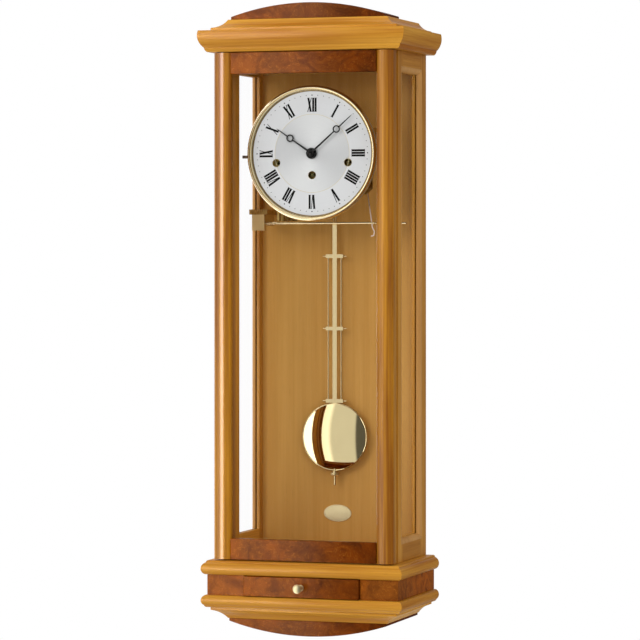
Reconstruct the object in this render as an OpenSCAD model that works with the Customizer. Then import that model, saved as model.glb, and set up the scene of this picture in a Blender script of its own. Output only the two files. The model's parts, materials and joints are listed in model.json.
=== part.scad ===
// Wall regulator clock: glazed oak case, burl panels, key drawer, three-train chiming movement.
// Origin: centre of the hanger hole on the wall plane. +X right, -Y out of the wall, +Z up.

/* [Case] */
// Depth from the wall to the frieze and column fronts
case_depth = 170; // [160:1:200]
// Width over the side frames
case_w = 247; // [240:1:275]
// Height of the opening that the door fills
opening_h = 687.5; // [600:0.5:760]
// Drop from the top of the opening to the hanger hole
hanger_drop = 45.5; // [38:0.5:60]
// Thickness of the side frames
side_t = 13.5; // [11:0.5:18]
// Width of the side frames' front stiles
front_stile_w = 14; // [10:0.5:18]
// Width of the side frames' rear stiles
rear_stile_w = 20; // [18:0.5:28]
// Height of the side frames' rails
side_rail_h = 20; // [16:0.5:30]
// Width of the cove strips round each side window
cove_strip_w = 7.5; // [5:0.5:9]
// Depth of the cove strips outside the side panes
cove_strip_depth = 6.2; // [5:0.1:7]
// Thickness of all panes
glass_t = 3; // [2:0.5:4]
// Depth of the jamb strips behind the door
jamb_depth = 16.8; // [14:0.2:20]
// Width of the jamb strips
jamb_w = 11.3; // [10:0.1:14]
// Step from the side frames' faces in to the jambs
jamb_step = 4.2; // [2:0.1:6]
// Thickness of the back panel
back_t = 8; // [5:0.5:9]
// Space between the back panel and the wall
back_gap = 6; // [5:0.5:7]
// Thickness of the flat boards inside the mouldings
board_t = 12; // [9:0.5:14]

/* [Mouldings] */
// Distance of the frieze, which all the mouldings are set from, beyond the side frames
frieze_out = 11.5; // [9:0.5:15]
// Height of the crown moulding
crown_h = 29; // [22:0.5:36]
// Overhang of the crown moulding beyond the frieze
crown_out = 10; // [7:0.5:14]
// Height of the cap moulding on the crown
cap_h = 16; // [12:0.5:22]
// Step from the frieze in to the foot of the cap and cove mouldings
cap_step = 3.5; // [2:0.5:5]
// Step from the frieze in to the narrow edge of the cap and cove mouldings
cap_in = 22; // [18:0.5:25]
// Width of each strip of moulding behind the frieze face
strip_in = 25; // [22:0.5:28]
// Width of the cap and cove strips behind the frieze face
wide_strip_in = 45; // [40:1:50]
// Height of the upper base moulding
base_h = 19; // [14:0.5:24]
// Height of the frieze and of the drawer opening
frieze_h = 28; // [24:0.5:36]
// Height of the lower base moulding
lower_h = 16.5; // [15:0.5:24]
// Overhang of the two base mouldings beyond the frieze
base_out = 7; // [5:0.5:9]
// Height of the cove moulding under the base
cove_h = 16.5; // [10:0.5:20]

/* [Pediments] */
// Inset of the top pediment from the narrow edge of the cap
pediment_in = 4; // [2:0.5:18]
// Inset of the bottom pediment from the narrow edge of the cove
pendant_in = 1.5; // [1:0.5:18]
// Rise of the top pediment at its middle
pediment_h = 21; // [14:0.5:28]
// Depth of the top pediment
pediment_depth = 68; // [50:1:110]
// Drop of the bottom pediment at its middle
pendant_h = 21; // [14:0.5:30]
// Height of both pediments at their ends
pediment_end = 3.5; // [2:0.5:6]

/* [Door] */
// Distance of the door's columns beyond the side frames
door_out = 3.5; // [2:0.5:7]
// Width of each column
column_w = 23.7; // [20:0.1:27]
// Thickness of the columns
column_t = 18.5; // [16:0.5:20]
// Crown of the columns' rounded fronts
column_round = 5.5; // [3:0.5:8]
// Height of the door's top rail
top_rail_h = 29; // [20:0.5:40]
// Height of the door's bottom rail
bottom_rail_h = 28; // [20:0.5:40]
// Step from the column fronts back to the rails
rail_step = 3.5; // [2:0.5:5]
// Gap between the door and the crown moulding
door_gap_top = 1; // [0.6:0.1:3]
// Gap between the door and the base moulding
door_gap_bottom = 1.6; // [0.6:0.1:3]
// Gap between the door and the jambs
door_gap_rear = 3; // [2.6:0.1:4]
// Overlap of the glass on the door's frame
rebate = 5; // [4:0.5:7]
// Depth of the rebate behind the glass, which the beads fill
bead_t = 2.5; // [2:0.5:4]
// Height of each hinge
hinge_h = 50; // [36:1:70]
// Distance of the hinges from the ends of the door
hinge_inset = 70; // [40:5:120]
// Radius of the hinge knuckles
knuckle_r = 2.5; // [2:0.1:3]
// Radius of the hinge pins
pin_r = 1.25; // [1:0.05:1.4]
// Thickness of the hinge leaves
leaf_t = 1.2; // [0.8:0.1:1.2]

/* [Drawer] */
// Width of the drawer front
drawer_w = 163; // [140:1:180]
// Depth of the drawer from its front face to its back
drawer_depth = 145; // [110:1:150]
// Distance that the drawer front stands proud of the frieze
drawer_proud = 5; // [2:0.5:6]
// Thickness of the drawer front and the frieze boards
drawer_front_t = 12; // [9:0.5:15]
// Thickness of the drawer's sides and back
drawer_side_t = 8; // [5:0.5:10]
// Thickness of the drawer's bottom
drawer_bottom_t = 3; // [2:0.5:5]
// Radius of the knob
knob_r = 6.2; // [4:0.1:9]
// Projection of the knob from the drawer front
knob_len = 19; // [15:0.5:24]

/* [Movement] */
// Drop from the top of the opening to the centre of the dial
hub_drop = 137; // [120:1:200]
// Distance from the wall to the face of the dial
dial_y = 126.5; // [124:0.5:134]
// Inner radius of the bezel
bezel_in_r = 85.5; // [80:0.5:87]
// Width of the bezel's ring
bezel_w = 6.7; // [4:0.1:10]
// Depth of the bezel
bezel_t = 9; // [6:0.5:11]
// Radius of the dial's three winding holes
wind_hole_r = 5.5; // [5:0.1:6.5]
// Sideways distance of the outer winding holes
wind_x = 51; // [49:0.5:54]
// Drop of the outer winding holes below the hub
wind_drop = 12.7; // [10:0.1:16]
// Drop of the middle winding hole below the hub
mid_drop = 29.5; // [27:0.1:32]
// Half width of the movement's plates
plate_w = 70; // [66:1:72]
// Top of the plates above the hub
plate_top = 44; // [42:1:48]
// Bottom of the plates below the hub
plate_bottom = 55; // [54:1:58]
// Thickness of the plates
plate_t = 2; // [1.5:0.1:3]
// Space between the plates
plate_space = 36.5; // [36:0.5:44]
// Space between the dial and the front plate
dial_space = 11; // [11:0.5:14]
// Radius of the strike and chime barrels
barrel_r = 20; // [16:0.5:21]
// Length of the hour hand
hour_len = 60.5; // [50:0.5:70]
// Length of the minute hand
minute_len = 78; // [60:0.5:80]
// Minutes past ten that the hands show
minutes = 8.1; // [0:0.1:14]

/* [Chime] */
// Drop of the chime rods below the hub
rod_drop = 94; // [90:1:110]
// Radius of the chime rods
rod_r = 1.5; // [1:0.1:2]
// Spacing of the chime rods
rod_pitch = 8.5; // [8:0.1:8.6]
// Number of chime rods and of hammers
rod_count = 5; // [3:1:5]
// Distance that the gong block reaches in front of the back plate
block_ahead = 6; // [5:0.5:7]
// Distance of the gong block from the left side frame
block_in = 8; // [5:0.5:12]
// Width of the gong block
block_w = 18; // [14:0.5:20]

/* [Pendulum] */
// Distance from the wall to the middle of the pendulum
pendulum_y = 27; // [26.5:0.5:29]
// Height of the suspension pin above the hub
pivot_rise = 36; // [35:0.5:38]
// Distance from the suspension pin to the centre of the bob
bob_drop = 425; // [340:1:450]
// Radius of the bob
bob_r = 47; // [35:0.5:52]
// Thickness of the bob
bob_t = 19; // [12:0.5:19]
// Width of the flat middle rod
rod_w = 6.2; // [5:0.1:8]
// Distance of the thin side rods from the middle
side_rod_x = 9.35; // [8:0.05:12]
// Spacing of the crossbars
crossbar_pitch = 100; // [70:1:105]

/* [Hidden] */
$fn = 48;

oak = "#c8913c";
oak_dark = "#a8702f";
burl = "#8c4c22";
panel_brown = "#ac7e45";
brass = "#d8bd73";
steel = "#a9a9a6";
blued = "#242220";
silver = "#dfe1e4";
pane = [0.8, 0.87, 0.87, 0.3];

// Running clearance of arbors, pins and pipes in their bores
fit = 0.05;
// Overlap of cutting tools past a face
eps = 0.01;
// Hairline joint between glued pieces of one frame
joint_gap = 0.1;
// Length that passes anything in a cut
far = 1000;

front_y = -case_depth;
side_x = case_w / 2;
side_in = side_x - side_t;
frieze_x = side_x + frieze_out;
open_top = hanger_drop;
open_bottom = open_top - opening_h;
crown_top = open_top + crown_h;
cap_top = crown_top + cap_h;
base_low = open_bottom - base_h;
frieze_low = base_low - frieze_h;
lower_low = frieze_low - lower_h;
cove_low = lower_low - cove_h;

door_rear = front_y + column_t;
jamb_front = door_rear + door_gap_rear;
frame_front = jamb_front + jamb_depth;
jamb_x = side_x - jamb_step - jamb_w;
top_rail_more = 0.5;
low_rail_more = 4;
window_front = frame_front + front_stile_w + cove_strip_w;
window_rear = -rear_stile_w - cove_strip_w;
window_low = open_bottom + side_rail_h + low_rail_more + cove_strip_w;
window_high = open_top - side_rail_h - top_rail_more - cove_strip_w;
pane_x = side_x - cove_strip_depth - glass_t;
back_front = -back_gap - back_t;

door_x = side_x + door_out;
column_in = door_x - column_w;
door_low = open_bottom + door_gap_bottom;
door_high = open_top - door_gap_top;
rail_front = front_y + rail_step;
sight_low = door_low + bottom_rail_h;
sight_high = door_high - top_rail_h;
bead_front = door_rear - bead_t;
hinge_x = -door_x - knuckle_r;
hinge_y = door_rear + door_gap_rear / 2;
hinge_zs = [door_low + hinge_inset, door_high - hinge_inset - hinge_h];
knuckle_h = hinge_h * 0.3;
knuckle_gap = 0.2;
leaf_on_jamb = 8;
leaf_in = -side_x + jamb_step + leaf_on_jamb;

drawer_gap = 0.6;
drawer_floor = frieze_low + 0.3;
drawer_face = front_y - drawer_proud;
drawer_back = drawer_face + drawer_front_t;
drawer_end = drawer_face + drawer_depth;
box_x = drawer_w / 2 - 1.5;
box_h = frieze_h - 4;
guide_gap = 0.5;
guide_w = 8;
guide_h = 16;
guide_end = 10;

hub = [0, open_top - hub_drop];
dial_t = 1;
face = -dial_y;
dial_back = face + dial_t;
plate_y = dial_back + dial_space;
rear_plate_y = plate_y + plate_t + plate_space;
wind_at = [[0, -mid_drop], [-wind_x, -wind_drop], [wind_x, -wind_drop]];
pivot = [0, pivot_rise];
arbor_r = 1.5;
pipe_r = 2.3;
pipe_wall = 0.9;
going_teeth = 78;
centre_teeth = 13;
going_module = 2 * mid_drop / (going_teeth + centre_teeth);
motion_dist = 14;
motion_angle = 60;
motion_at = motion_dist * [cos(motion_angle), sin(motion_angle)];
cannon_teeth = 14;
minute_teeth = 42;
small_teeth = 10;
hour_teeth = 40;
cannon_module = 2 * motion_dist / (cannon_teeth + minute_teeth);
hour_module = 2 * motion_dist / (small_teeth + hour_teeth);
stud_r = 1;
escape_teeth = 30;
escape_r = 12.5;
escape_drop = 19;
lever_at = [-60, -4];
rod_z = hub[1] - rod_drop;
block_front = rear_plate_y - block_ahead;
block_depth = rod_pitch * (rod_count - 1) + 8;
hammer_pivot_in = 20;
hammer_pivot = [-hammer_pivot_in, hub[1] - plate_bottom - 7.5];
crutch_drop = 50;
pivot_z = hub[1] + pivot[1];
bob_z = pivot_z - bob_drop;
bar_half = 2.5;
bar_zs = [for (i = [0:2]) bob_z + bob_r + bar_half + 0.2 + i * crossbar_pitch];
rod_above_bars = 47;
rod_top = bar_zs[2] + rod_above_bars;
thread_r = 1.5;
wire_w = 1.3;
badge_w = 40;
badge_h = 23.4;
badge_rise = 55;
badge_z = open_bottom + badge_rise;
bezel_r = bezel_in_r + bezel_w;
pediment_w = 2 * (frieze_x - cap_in - pediment_in);
pendant_w = 2 * (frieze_x - cap_in - pendant_in);
block_x = -side_in + block_in;
nut_h = 6;
nut_gap = 0.5;
nut_z = bob_z - bob_r - nut_gap - nut_h;
thread_end = nut_z - 13;
thread_top = bob_z - bob_r * 0.6;
rod_t = 1.8;
rod_half = [rod_w / 2, rod_t / 2];

// Points on the arc from p to q that bulges to the left of p-q by sag, or to the right if it is
// negative, in n steps
function arc(p, q, sag, n = 8) = let (
    chord = norm(q - p),
    along = (q - p) / chord,
    rise = abs(sag),
    out = sign(sag) * [-along[1], along[0]],
    r = (chord * chord / 4 + rise * rise) / (2 * rise),
    half = asin(min(1, chord / 2 / r)),
    centre = (p + q) / 2 - out * (r - rise)
) [for (i = [0:n]) let (a = half * (2 * i / n - 1)) centre + r * (out * cos(a) + along * sin(a))];

function polar(r, a) = [r * cos(a), r * sin(a)];

// Outline of a spur gear with slim straight-sided teeth, one of them centred on the X axis
function gear_points(teeth, size) = let (r = teeth * size / 2, step = 360 / teeth)
    [for (i = [0:teeth - 1], p = [[-0.27, -1.15], [-0.1, 0.8], [0.1, 0.8], [0.27, -1.15]])
        polar(r + p[1] * size, (i + p[0]) * step)];

// Draws upright shapes, their local Z pointing out of the wall from the plane y = rear
module facing(at, rear) {
    translate([at[0], rear, at[1]]) rotate([90, 0, 0]) children();
}

// The same, placed from the centre of the dial
module on_hub(at, rear) {
    facing(hub + at, rear) children();
}

// A box between two corners
module block(low, high) {
    translate(low) cube(high - low);
}

module both_sides() {
    children();
    mirror([1, 0, 0]) children();
}

// Mitred front and returns of a moulding that is set on the frieze line. Its profile's points are
// [distance out from the frieze, height]
module moulding(profile, inside) {
    front_plan = [[-frieze_x - far, front_y - far], [frieze_x + far, front_y - far],
        [frieze_x - inside, front_y + inside], [-frieze_x + inside, front_y + inside]];
    side_plan = [[frieze_x + far, front_y - far + joint_gap], [frieze_x + far, 0],
        [frieze_x - inside, 0], [frieze_x - inside, front_y + inside + joint_gap]];
    intersection() {
        translate([-far / 2, front_y, 0]) rotate([90, 0, 90]) linear_extrude(far)
            polygon([for (p = profile) [-p[0], p[1]]]);
        translate([0, 0, -far]) linear_extrude(2 * far) polygon(front_plan);
    }
    both_sides() intersection() {
        translate([frieze_x, 0, 0]) rotate([90, 0, 0]) linear_extrude(far) polygon(profile);
        translate([0, 0, -far]) linear_extrude(2 * far) polygon(side_plan);
    }
}

// Arched board, its straight edge on z = 0 and its middle at h
module arched_board(w, end_h, h, depth) {
    ends = [[w / 2, end_h], [-w / 2, end_h]];
    rotate([90, 0, 0]) linear_extrude(depth)
        polygon(concat([[-w / 2, 0], [w / 2, 0]], arc(ends[0], ends[1], -(h - end_h), 32)));
}

module top_pediment() color(burl) {
    translate([0, front_y + cap_in + pediment_depth, cap_top])
        arched_board(pediment_w, pediment_end, pediment_h, pediment_depth);
}

module bottom_pediment() color(burl) {
    translate([0, 0, cove_low]) mirror([0, 0, 1])
        arched_board(pendant_w, pediment_end, pendant_h, case_depth - cap_in);
}

module cap_moulding() color(oak) {
    step_z = crown_top + cap_h / 4;
    moulding(concat([[-wide_strip_in, cap_top], [-wide_strip_in, crown_top],
        [-cap_step, crown_top], [-cap_step, step_z]],
        arc([-cap_step - 1.5, step_z + 0.3], [-cap_in, cap_top], 2.4, 8)), wide_strip_in);
}

module crown_moulding() color(oak) {
    quirk_z = open_top + crown_h * 0.22;
    moulding(concat([[-strip_in, crown_top], [-strip_in, open_top]],
        arc([0.2, open_top], [crown_out * 0.37, quirk_z - 0.4], -0.8, 4),
        arc([crown_out * 0.44, quirk_z], [crown_out, crown_top], -3.2, 10)), strip_in);
}

module base_moulding() color(oak) {
    nose_top = open_bottom - base_h * 0.16;
    moulding(concat([[-strip_in, base_low]],
        arc([2.6, base_low], [base_out * 0.3, nose_top], -(base_out - 2.2), 12),
        arc([base_out * 0.2, nose_top + 0.3], [-0.8, open_bottom], -0.6, 4),
        [[-strip_in, open_bottom]]), strip_in);
}

module lower_moulding() color(oak) {
    nose_low = lower_low + lower_h * 0.2;
    moulding(concat([[-strip_in, lower_low]],
        arc([0.8, lower_low], [base_out * 0.5, nose_low - 0.3], -0.6, 4),
        arc([base_out * 0.6, nose_low], [2.6, frieze_low], -(base_out - 3.4), 12),
        [[-strip_in, frieze_low]]), strip_in);
}

module lower_cove() color(oak) {
    step_z = lower_low - cove_h / 4;
    moulding(concat([[-wide_strip_in, lower_low], [-wide_strip_in, cove_low]],
        arc([-cap_in, cove_low], [-cap_step - 1.5, step_z - 0.3], 1.9, 8),
        [[-cap_step, step_z], [-cap_step, lower_low]]), wide_strip_in);
}

// Flat boards inside the moulding frames, and the strip that closes the top one at the back
module case_boards() color(oak_dark) {
    inner = frieze_x - strip_in;
    core = frieze_x - wide_strip_in;
    for (z = [open_top, open_bottom - board_t, frieze_low - board_t])
        block([-inner, front_y + strip_in, z], [inner, 0, z + board_t]);
    block([-core, front_y + wide_strip_in, crown_top], [core, 0, cap_top]);
    block([-core, front_y + wide_strip_in, cove_low], [core, 0, lower_low]);
    block([-inner, -board_t, open_top + board_t + joint_gap],
        [inner, 0, crown_top - joint_gap]);
}

// Rebates round the side windows, which take the panes and the cove strips from outside
module window_rebates() {
    both_sides() block([pane_x, window_front - cove_strip_w, window_low - cove_strip_w],
        [side_x + eps, window_rear + cove_strip_w, window_high + cove_strip_w]);
}

module side_stiles() color(oak) {
    difference() {
        both_sides() {
            block([side_in, frame_front, open_bottom], [side_x, window_front, open_top]);
            block([side_in, window_rear, open_bottom], [side_x, 0, open_top]);
        }
        window_rebates();
    }
}

module side_rails() color(oak) {
    difference() {
        both_sides() {
            block([side_in, window_front, open_bottom], [side_x, window_rear, window_low]);
            block([side_in, window_front, window_high], [side_x, window_rear, open_top]);
        }
        window_rebates();
    }
}

// Mitred cove strips that line the side windows outside the glass
module window_mouldings() color(oak) {
    depth = cove_strip_depth;
    w = window_rear - window_front + 2 * cove_strip_w;
    h = window_high - window_low + 2 * cove_strip_w;
    middle = [side_x, (window_front + window_rear) / 2, (window_low + window_high) / 2];
    section = concat([[0, 0], [0, -depth], [cove_strip_w, -depth]],
        arc([cove_strip_w, -depth + 1.5], [0.8, 0], -1.2, 8));
    both_sides() translate(middle) for (turn = [0:3]) {
        reach = turn % 2 == 0 ? h : w;
        edge = turn % 2 == 0 ? w : h;
        rotate([turn * 90, 0, 0]) intersection() {
            translate([0, -edge / 2, -reach / 2]) linear_extrude(reach)
                polygon([for (p = section) [p[1], p[0]]]);
            rotate([90, 0, 90]) translate([0, 0, -far / 2]) linear_extrude(far)
                polygon([[-edge / 2, reach / 2 - joint_gap], [-edge / 2, joint_gap - reach / 2],
                    [-edge / 2 + cove_strip_w, joint_gap - reach / 2 + cove_strip_w],
                    [-edge / 2 + cove_strip_w, reach / 2 - cove_strip_w - joint_gap]]);
        }
    }
}

module side_glass() color(pane) {
    both_sides() block([pane_x, window_front - cove_strip_w, window_low - cove_strip_w],
        [pane_x + glass_t, window_rear + cove_strip_w, window_high + cove_strip_w]);
}

magnet = [8, 8, 24];
magnet_proud = 1.5;
magnet_x = jamb_x + (jamb_w - magnet[0]) / 2;
magnet_inset = 60;
magnet_zs = [door_low + magnet_inset, door_high - magnet_inset - magnet[2]];

module magnet_blocks() {
    for (z = magnet_zs) translate([magnet_x, jamb_front - magnet_proud, z]) cube(magnet);
}

module door_jambs() color(oak_dark) {
    difference() {
        both_sides() block([jamb_x, jamb_front, open_bottom],
            [side_x - jamb_step, frame_front, open_top]);
        magnet_blocks();
    }
}

module catch_magnets() color(steel) {
    magnet_blocks();
}

hanger_size = [60, 30];
hanger_t = 2;
hanger_r = 4;
spacer_w = 10;
screw_r = 1.6;
screw_head_r = 3.2;
screw_bite = back_t - 2;
bracket_rise = 22;
bracket_z = hub[1] + bracket_rise;
bracket_h = 14;
bracket_foot = 18;
bracket_screw_x = plate_w + bracket_foot - 7;
foot_t = 2;
block_up = 12;
block_down = 10;
arm_h = 7;
arm_over = 4;

// Shanks of the hanger's and the movement brackets' screws
module screw_shanks() {
    both_sides() {
        facing([hanger_size[0] / 2 - spacer_w / 2, 0], 0)
            cylinder(r = screw_r, h = back_gap + screw_bite);
        facing([bracket_screw_x, bracket_z + bracket_h / 2], back_front + screw_bite)
            cylinder(r = screw_r, h = screw_bite + foot_t);
    }
}

module wood_screws() color(steel) {
    screw_shanks();
    both_sides() facing([bracket_screw_x, bracket_z + bracket_h / 2], back_front - foot_t)
        cylinder(r = screw_head_r, h = screw_r);
}

module back_panel() color(panel_brown) {
    difference() {
        block([-side_in, back_front, open_bottom], [side_in, -back_gap, open_top]);
        screw_shanks();
    }
}

// Steel hanger with its two turned feet against the back panel
module hanger_plate() color(steel) {
    w = hanger_size[0] / 2;
    h = hanger_size[1] / 2;
    difference() {
        union() {
            block([-w, -hanger_t, -h], [w, 0, h]);
            both_sides() block([w - spacer_w, -back_gap, -h], [w, 0, h]);
        }
        facing([0, 0], eps) cylinder(r = hanger_r, h = 2 * hanger_t);
        both_sides() facing([w - spacer_w / 2, 0], eps) cylinder(r = screw_r, h = far);
    }
}

// Front blocks, side and back boards of the frieze, and the drawer's two guides
module frieze_boards() color(burl) {
    opening_x = drawer_w / 2 + drawer_gap;
    rear = front_y + drawer_front_t;
    side = frieze_x - drawer_front_t;
    both_sides() {
        block([opening_x, front_y, frieze_low], [frieze_x, rear, base_low]);
        block([side, rear + joint_gap, frieze_low], [frieze_x, 0, base_low]);
        block([box_x + guide_gap, rear + joint_gap, frieze_low],
            [box_x + guide_gap + guide_w, -guide_end, frieze_low + guide_h]);
    }
    block([-side + joint_gap, -back_t, frieze_low], [side - joint_gap, 0, base_low]);
}

// Plain oval plate on the back panel
module badge() color(brass) {
    facing([0, badge_z], back_front) linear_extrude(0.8)
        polygon([for (a = [0:9:351]) [badge_w / 2 * cos(a), badge_h / 2 * sin(a)]]);
}

// One hinge leaf: a plate with its knuckles on the hinge axis, which is the local Z axis.
// side is 1 for the leaf on the case and -1 for the leaf on the door
module hinge_leaf(knuckles, notches, side) {
    inner = leaf_in - hinge_x;
    root = knuckle_r + 0.5;
    plate = side * (door_gap_rear / 2 - leaf_t / 2);
    difference() {
        union() {
            for (k = knuckles) {
                translate([0, 0, k[0]]) cylinder(r = knuckle_r, h = k[1] - k[0]);
                translate([0, plate - leaf_t / 2, k[0]]) cube([inner, leaf_t, k[1] - k[0]]);
            }
            translate([root, plate - leaf_t / 2, 0]) cube([inner - root, leaf_t, hinge_h]);
        }
        translate([0, 0, -eps]) cylinder(r = pin_r + fit, h = hinge_h + 1);
    }
}

outer_knuckles = [[0, knuckle_h], [hinge_h - knuckle_h, hinge_h]];
inner_knuckles = [[knuckle_h + knuckle_gap, hinge_h - knuckle_h - knuckle_gap]];

module case_hinge_leaves() color(brass) {
    for (z = hinge_zs) translate([hinge_x, hinge_y, z]) {
        hinge_leaf(outer_knuckles, inner_knuckles, 1);
        translate([0, 0, -1.5]) cylinder(r = pin_r, h = hinge_h + 3);
        for (end = [-1.5, hinge_h]) translate([0, 0, end]) cylinder(r = knuckle_r - 0.4, h = 1.5);
    }
}

module door_hinge_leaves() color(brass) {
    for (z = hinge_zs) translate([hinge_x, hinge_y, z])
        hinge_leaf(inner_knuckles, outer_knuckles, -1);
}

// Plan of a column: a flat back and a rounded front
function column_plan() = concat([[door_x, door_rear], [column_in, door_rear]],
    arc([column_in, front_y + column_round], [door_x, front_y + column_round], -column_round, 16));

module door_columns() color(oak) {
    difference() {
        both_sides() translate([0, 0, door_low]) linear_extrude(door_high - door_low)
            polygon(column_plan());
        block([-column_in - rebate, bead_front - glass_t, sight_low - rebate],
            [column_in + rebate, door_rear + eps, sight_high + rebate]);
    }
}

module door_rails() color(burl) {
    difference() {
        union() {
            block([-column_in, rail_front, door_low], [column_in, door_rear, sight_low]);
            block([-column_in, rail_front, sight_high], [column_in, door_rear, door_high]);
        }
        block([-far, bead_front - glass_t, sight_low - rebate],
            [far, door_rear + eps, sight_high + rebate]);
    }
}

module door_glass() color(pane) {
    block([-column_in - rebate, bead_front - glass_t, sight_low - rebate],
        [column_in + rebate, bead_front, sight_high + rebate]);
}

// Strips that hold the glass in the rebate
module glazing_beads() color(oak_dark) {
    inner = column_in - joint_gap;
    both_sides() block([column_in, bead_front, sight_low - rebate],
        [column_in + rebate, door_rear, sight_high + rebate]);
    block([-inner, bead_front, sight_low - rebate], [inner, door_rear, sight_low]);
    block([-inner, bead_front, sight_high], [inner, door_rear, sight_high + rebate]);
}

module catch_plates() color(steel) {
    for (z = magnet_zs) translate([magnet_x - 1, door_rear, z - 2])
        cube([magnet[0] + 2, door_gap_rear - magnet_proud - 0.5, magnet[2] + 4]);
}

module drawer_front() color(burl) {
    block([-drawer_w / 2, drawer_face, frieze_low + drawer_gap],
        [drawer_w / 2, drawer_back, base_low - drawer_gap]);
}

// Sides, back and bottom of the drawer
module drawer_box() color(oak_dark) {
    floor_z = drawer_floor + drawer_bottom_t;
    inner = box_x - drawer_side_t - joint_gap;
    both_sides() block([box_x - drawer_side_t, drawer_back, floor_z + joint_gap],
        [box_x, drawer_end, drawer_floor + box_h]);
    block([-inner, drawer_end - drawer_side_t, floor_z + joint_gap],
        [inner, drawer_end, drawer_floor + box_h]);
    block([-box_x, drawer_back, drawer_floor], [box_x, drawer_end, floor_z]);
}

module drawer_knob() color(brass) {
    neck = knob_r * 0.42;
    head = knob_len * 0.42;
    facing([0, (frieze_low + base_low) / 2], drawer_face) rotate_extrude()
        polygon(concat([[0, knob_len], [0, 0], [knob_r * 0.7, 0], [knob_r * 0.7, 1],
            [neck, 2], [neck, knob_len - head]],
            arc([knob_r * 0.8, knob_len - head], [knob_r * 0.5, knob_len - 0.6],
                -knob_r * 0.32, 8)));
}

// Two flat brackets from the back panel to the plates, and the arm of the gong block
module movement_brackets() color(steel) {
    both_sides() {
        block([plate_w, plate_y, bracket_z], [plate_w + foot_t, back_front, bracket_z + bracket_h]);
        difference() {
            block([plate_w, back_front - foot_t, bracket_z],
                [plate_w + bracket_foot, back_front, bracket_z + bracket_h]);
            screw_shanks();
        }
    }
    block([block_x - arm_over, block_front, rod_z + block_up],
        [block_x + block_w + arm_over, back_front, rod_z + block_up + arm_h]);
}

plate_corner = 8;

module plate_outline() {
    x = plate_w - plate_corner;
    low = plate_corner - plate_bottom;
    high = plate_top - plate_corner;
    polygon([[-plate_w, low], [-x, -plate_bottom], [x, -plate_bottom], [plate_w, low],
        [plate_w, high], [x, plate_top], [-x, plate_top], [-plate_w, high]]);
}

pillar_in = 9;
pillar_at = [for (x = [pillar_in - plate_w, plate_w - pillar_in],
    z = [pillar_in - plate_bottom, plate_top - pillar_in]) [x, z]];
dial_foot_r = 2.5;
low_foot_in = [18, 11];
high_foot_in = [24, 10];
dial_feet = [for (x = [-1, 1]) each [[x * (plate_w - low_foot_in[0]), low_foot_in[1] - plate_bottom],
    [x * (plate_w - high_foot_in[0]), plate_top - high_foot_in[1]]]];
lever_stud_r = 2;
lever_gap = 8;
pillar_r = 3;
winder_r = 3;
winder_end_r = 2.5;
stud_len = 8;
lever_stud_len = 9;
minute_arbor_y = rear_plate_y + plate_t;

module front_plate() color(brass) {
    difference() {
        union() {
            on_hub([0, 0], plate_y + plate_t) linear_extrude(plate_t) plate_outline();
            on_hub(motion_at, plate_y) cylinder(r = stud_r, h = stud_len);
            on_hub(lever_at, plate_y) cylinder(r = lever_stud_r, h = lever_stud_len);
        }
        on_hub([0, 0], plate_y + far / 2) {
            cylinder(r = arbor_r + fit, h = far);
            for (p = wind_at) translate(p) cylinder(r = winder_r + fit, h = far);
            for (p = [pivot, pivot - [0, escape_drop]]) translate(p)
                cylinder(r = arbor_r + fit, h = far);
        }
    }
}

module back_plate() color(brass) {
    difference() {
        on_hub([0, 0], rear_plate_y + plate_t) linear_extrude(plate_t) plate_outline();
        on_hub([0, 0], rear_plate_y + far / 2) {
            cylinder(r = arbor_r + fit, h = far);
            for (p = wind_at) translate(p) cylinder(r = winder_end_r + fit, h = far);
            for (p = [pivot, pivot - [0, escape_drop]]) translate(p)
                cylinder(r = arbor_r + fit, h = far);
        }
    }
}

module plate_pillars() color(brass) {
    for (p = pillar_at) on_hub(p, rear_plate_y) cylinder(r = pillar_r, h = plate_space);
}

// Dial with its four riveted feet
module dial() color(silver) {
    difference() {
        on_hub([0, 0], dial_back) cylinder(r = bezel_in_r + 1 - fit, h = dial_t, $fn = 96);
        on_hub([0, 0], dial_back + 1) {
            cylinder(r = pipe_r + pipe_wall + 1, h = 3);
            for (p = wind_at) translate(p) cylinder(r = wind_hole_r, h = 3);
        }
    }
    for (p = dial_feet) on_hub(p, plate_y) cylinder(r = dial_foot_r, h = dial_space);
}

module bezel() color(brass) {
    w = bezel_r - bezel_in_r;
    on_hub([0, 0], dial_back + 1.5) rotate_extrude($fn = 96)
        polygon(concat([[bezel_in_r + 1, 2.5], [bezel_in_r + 1, 0], [bezel_r - 1, 0]],
            arc([bezel_r, 2], [bezel_in_r + w * 0.45, bezel_t], -w * 0.22, 6),
            [[bezel_in_r, 3.6], [bezel_in_r, 2.5]]));
}

cock_rise = 8;

// Fork behind the back plate that carries the suspension pin
module suspension_cock() color(brass) {
    rear = rear_plate_y + plate_t;
    ear = 1.5;
    gap = 2.3;
    low = pivot_z - 3;
    high = pivot_z + cock_rise + 5;
    difference() {
        union() {
            block([-4, rear, pivot_z + cock_rise], [4, -pendulum_y + gap + ear, high]);
            for (y = [-gap - ear, gap]) block([-4, -pendulum_y + y, low],
                [4, -pendulum_y + y + ear, pivot_z + cock_rise]);
        }
        facing([0, pivot_z], 0) cylinder(r = pin_r + fit, h = far);
    }
}

rod_ys = [for (i = [0:rod_count - 1]) block_front + 4 + i * rod_pitch];
rod_root = block_x + block_w;
rod_bite = 10;
block_face_t = 6.5;
block_below = 3;
rod_longer = 8.5;
rod_tip = side_in - 2.5;

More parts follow.
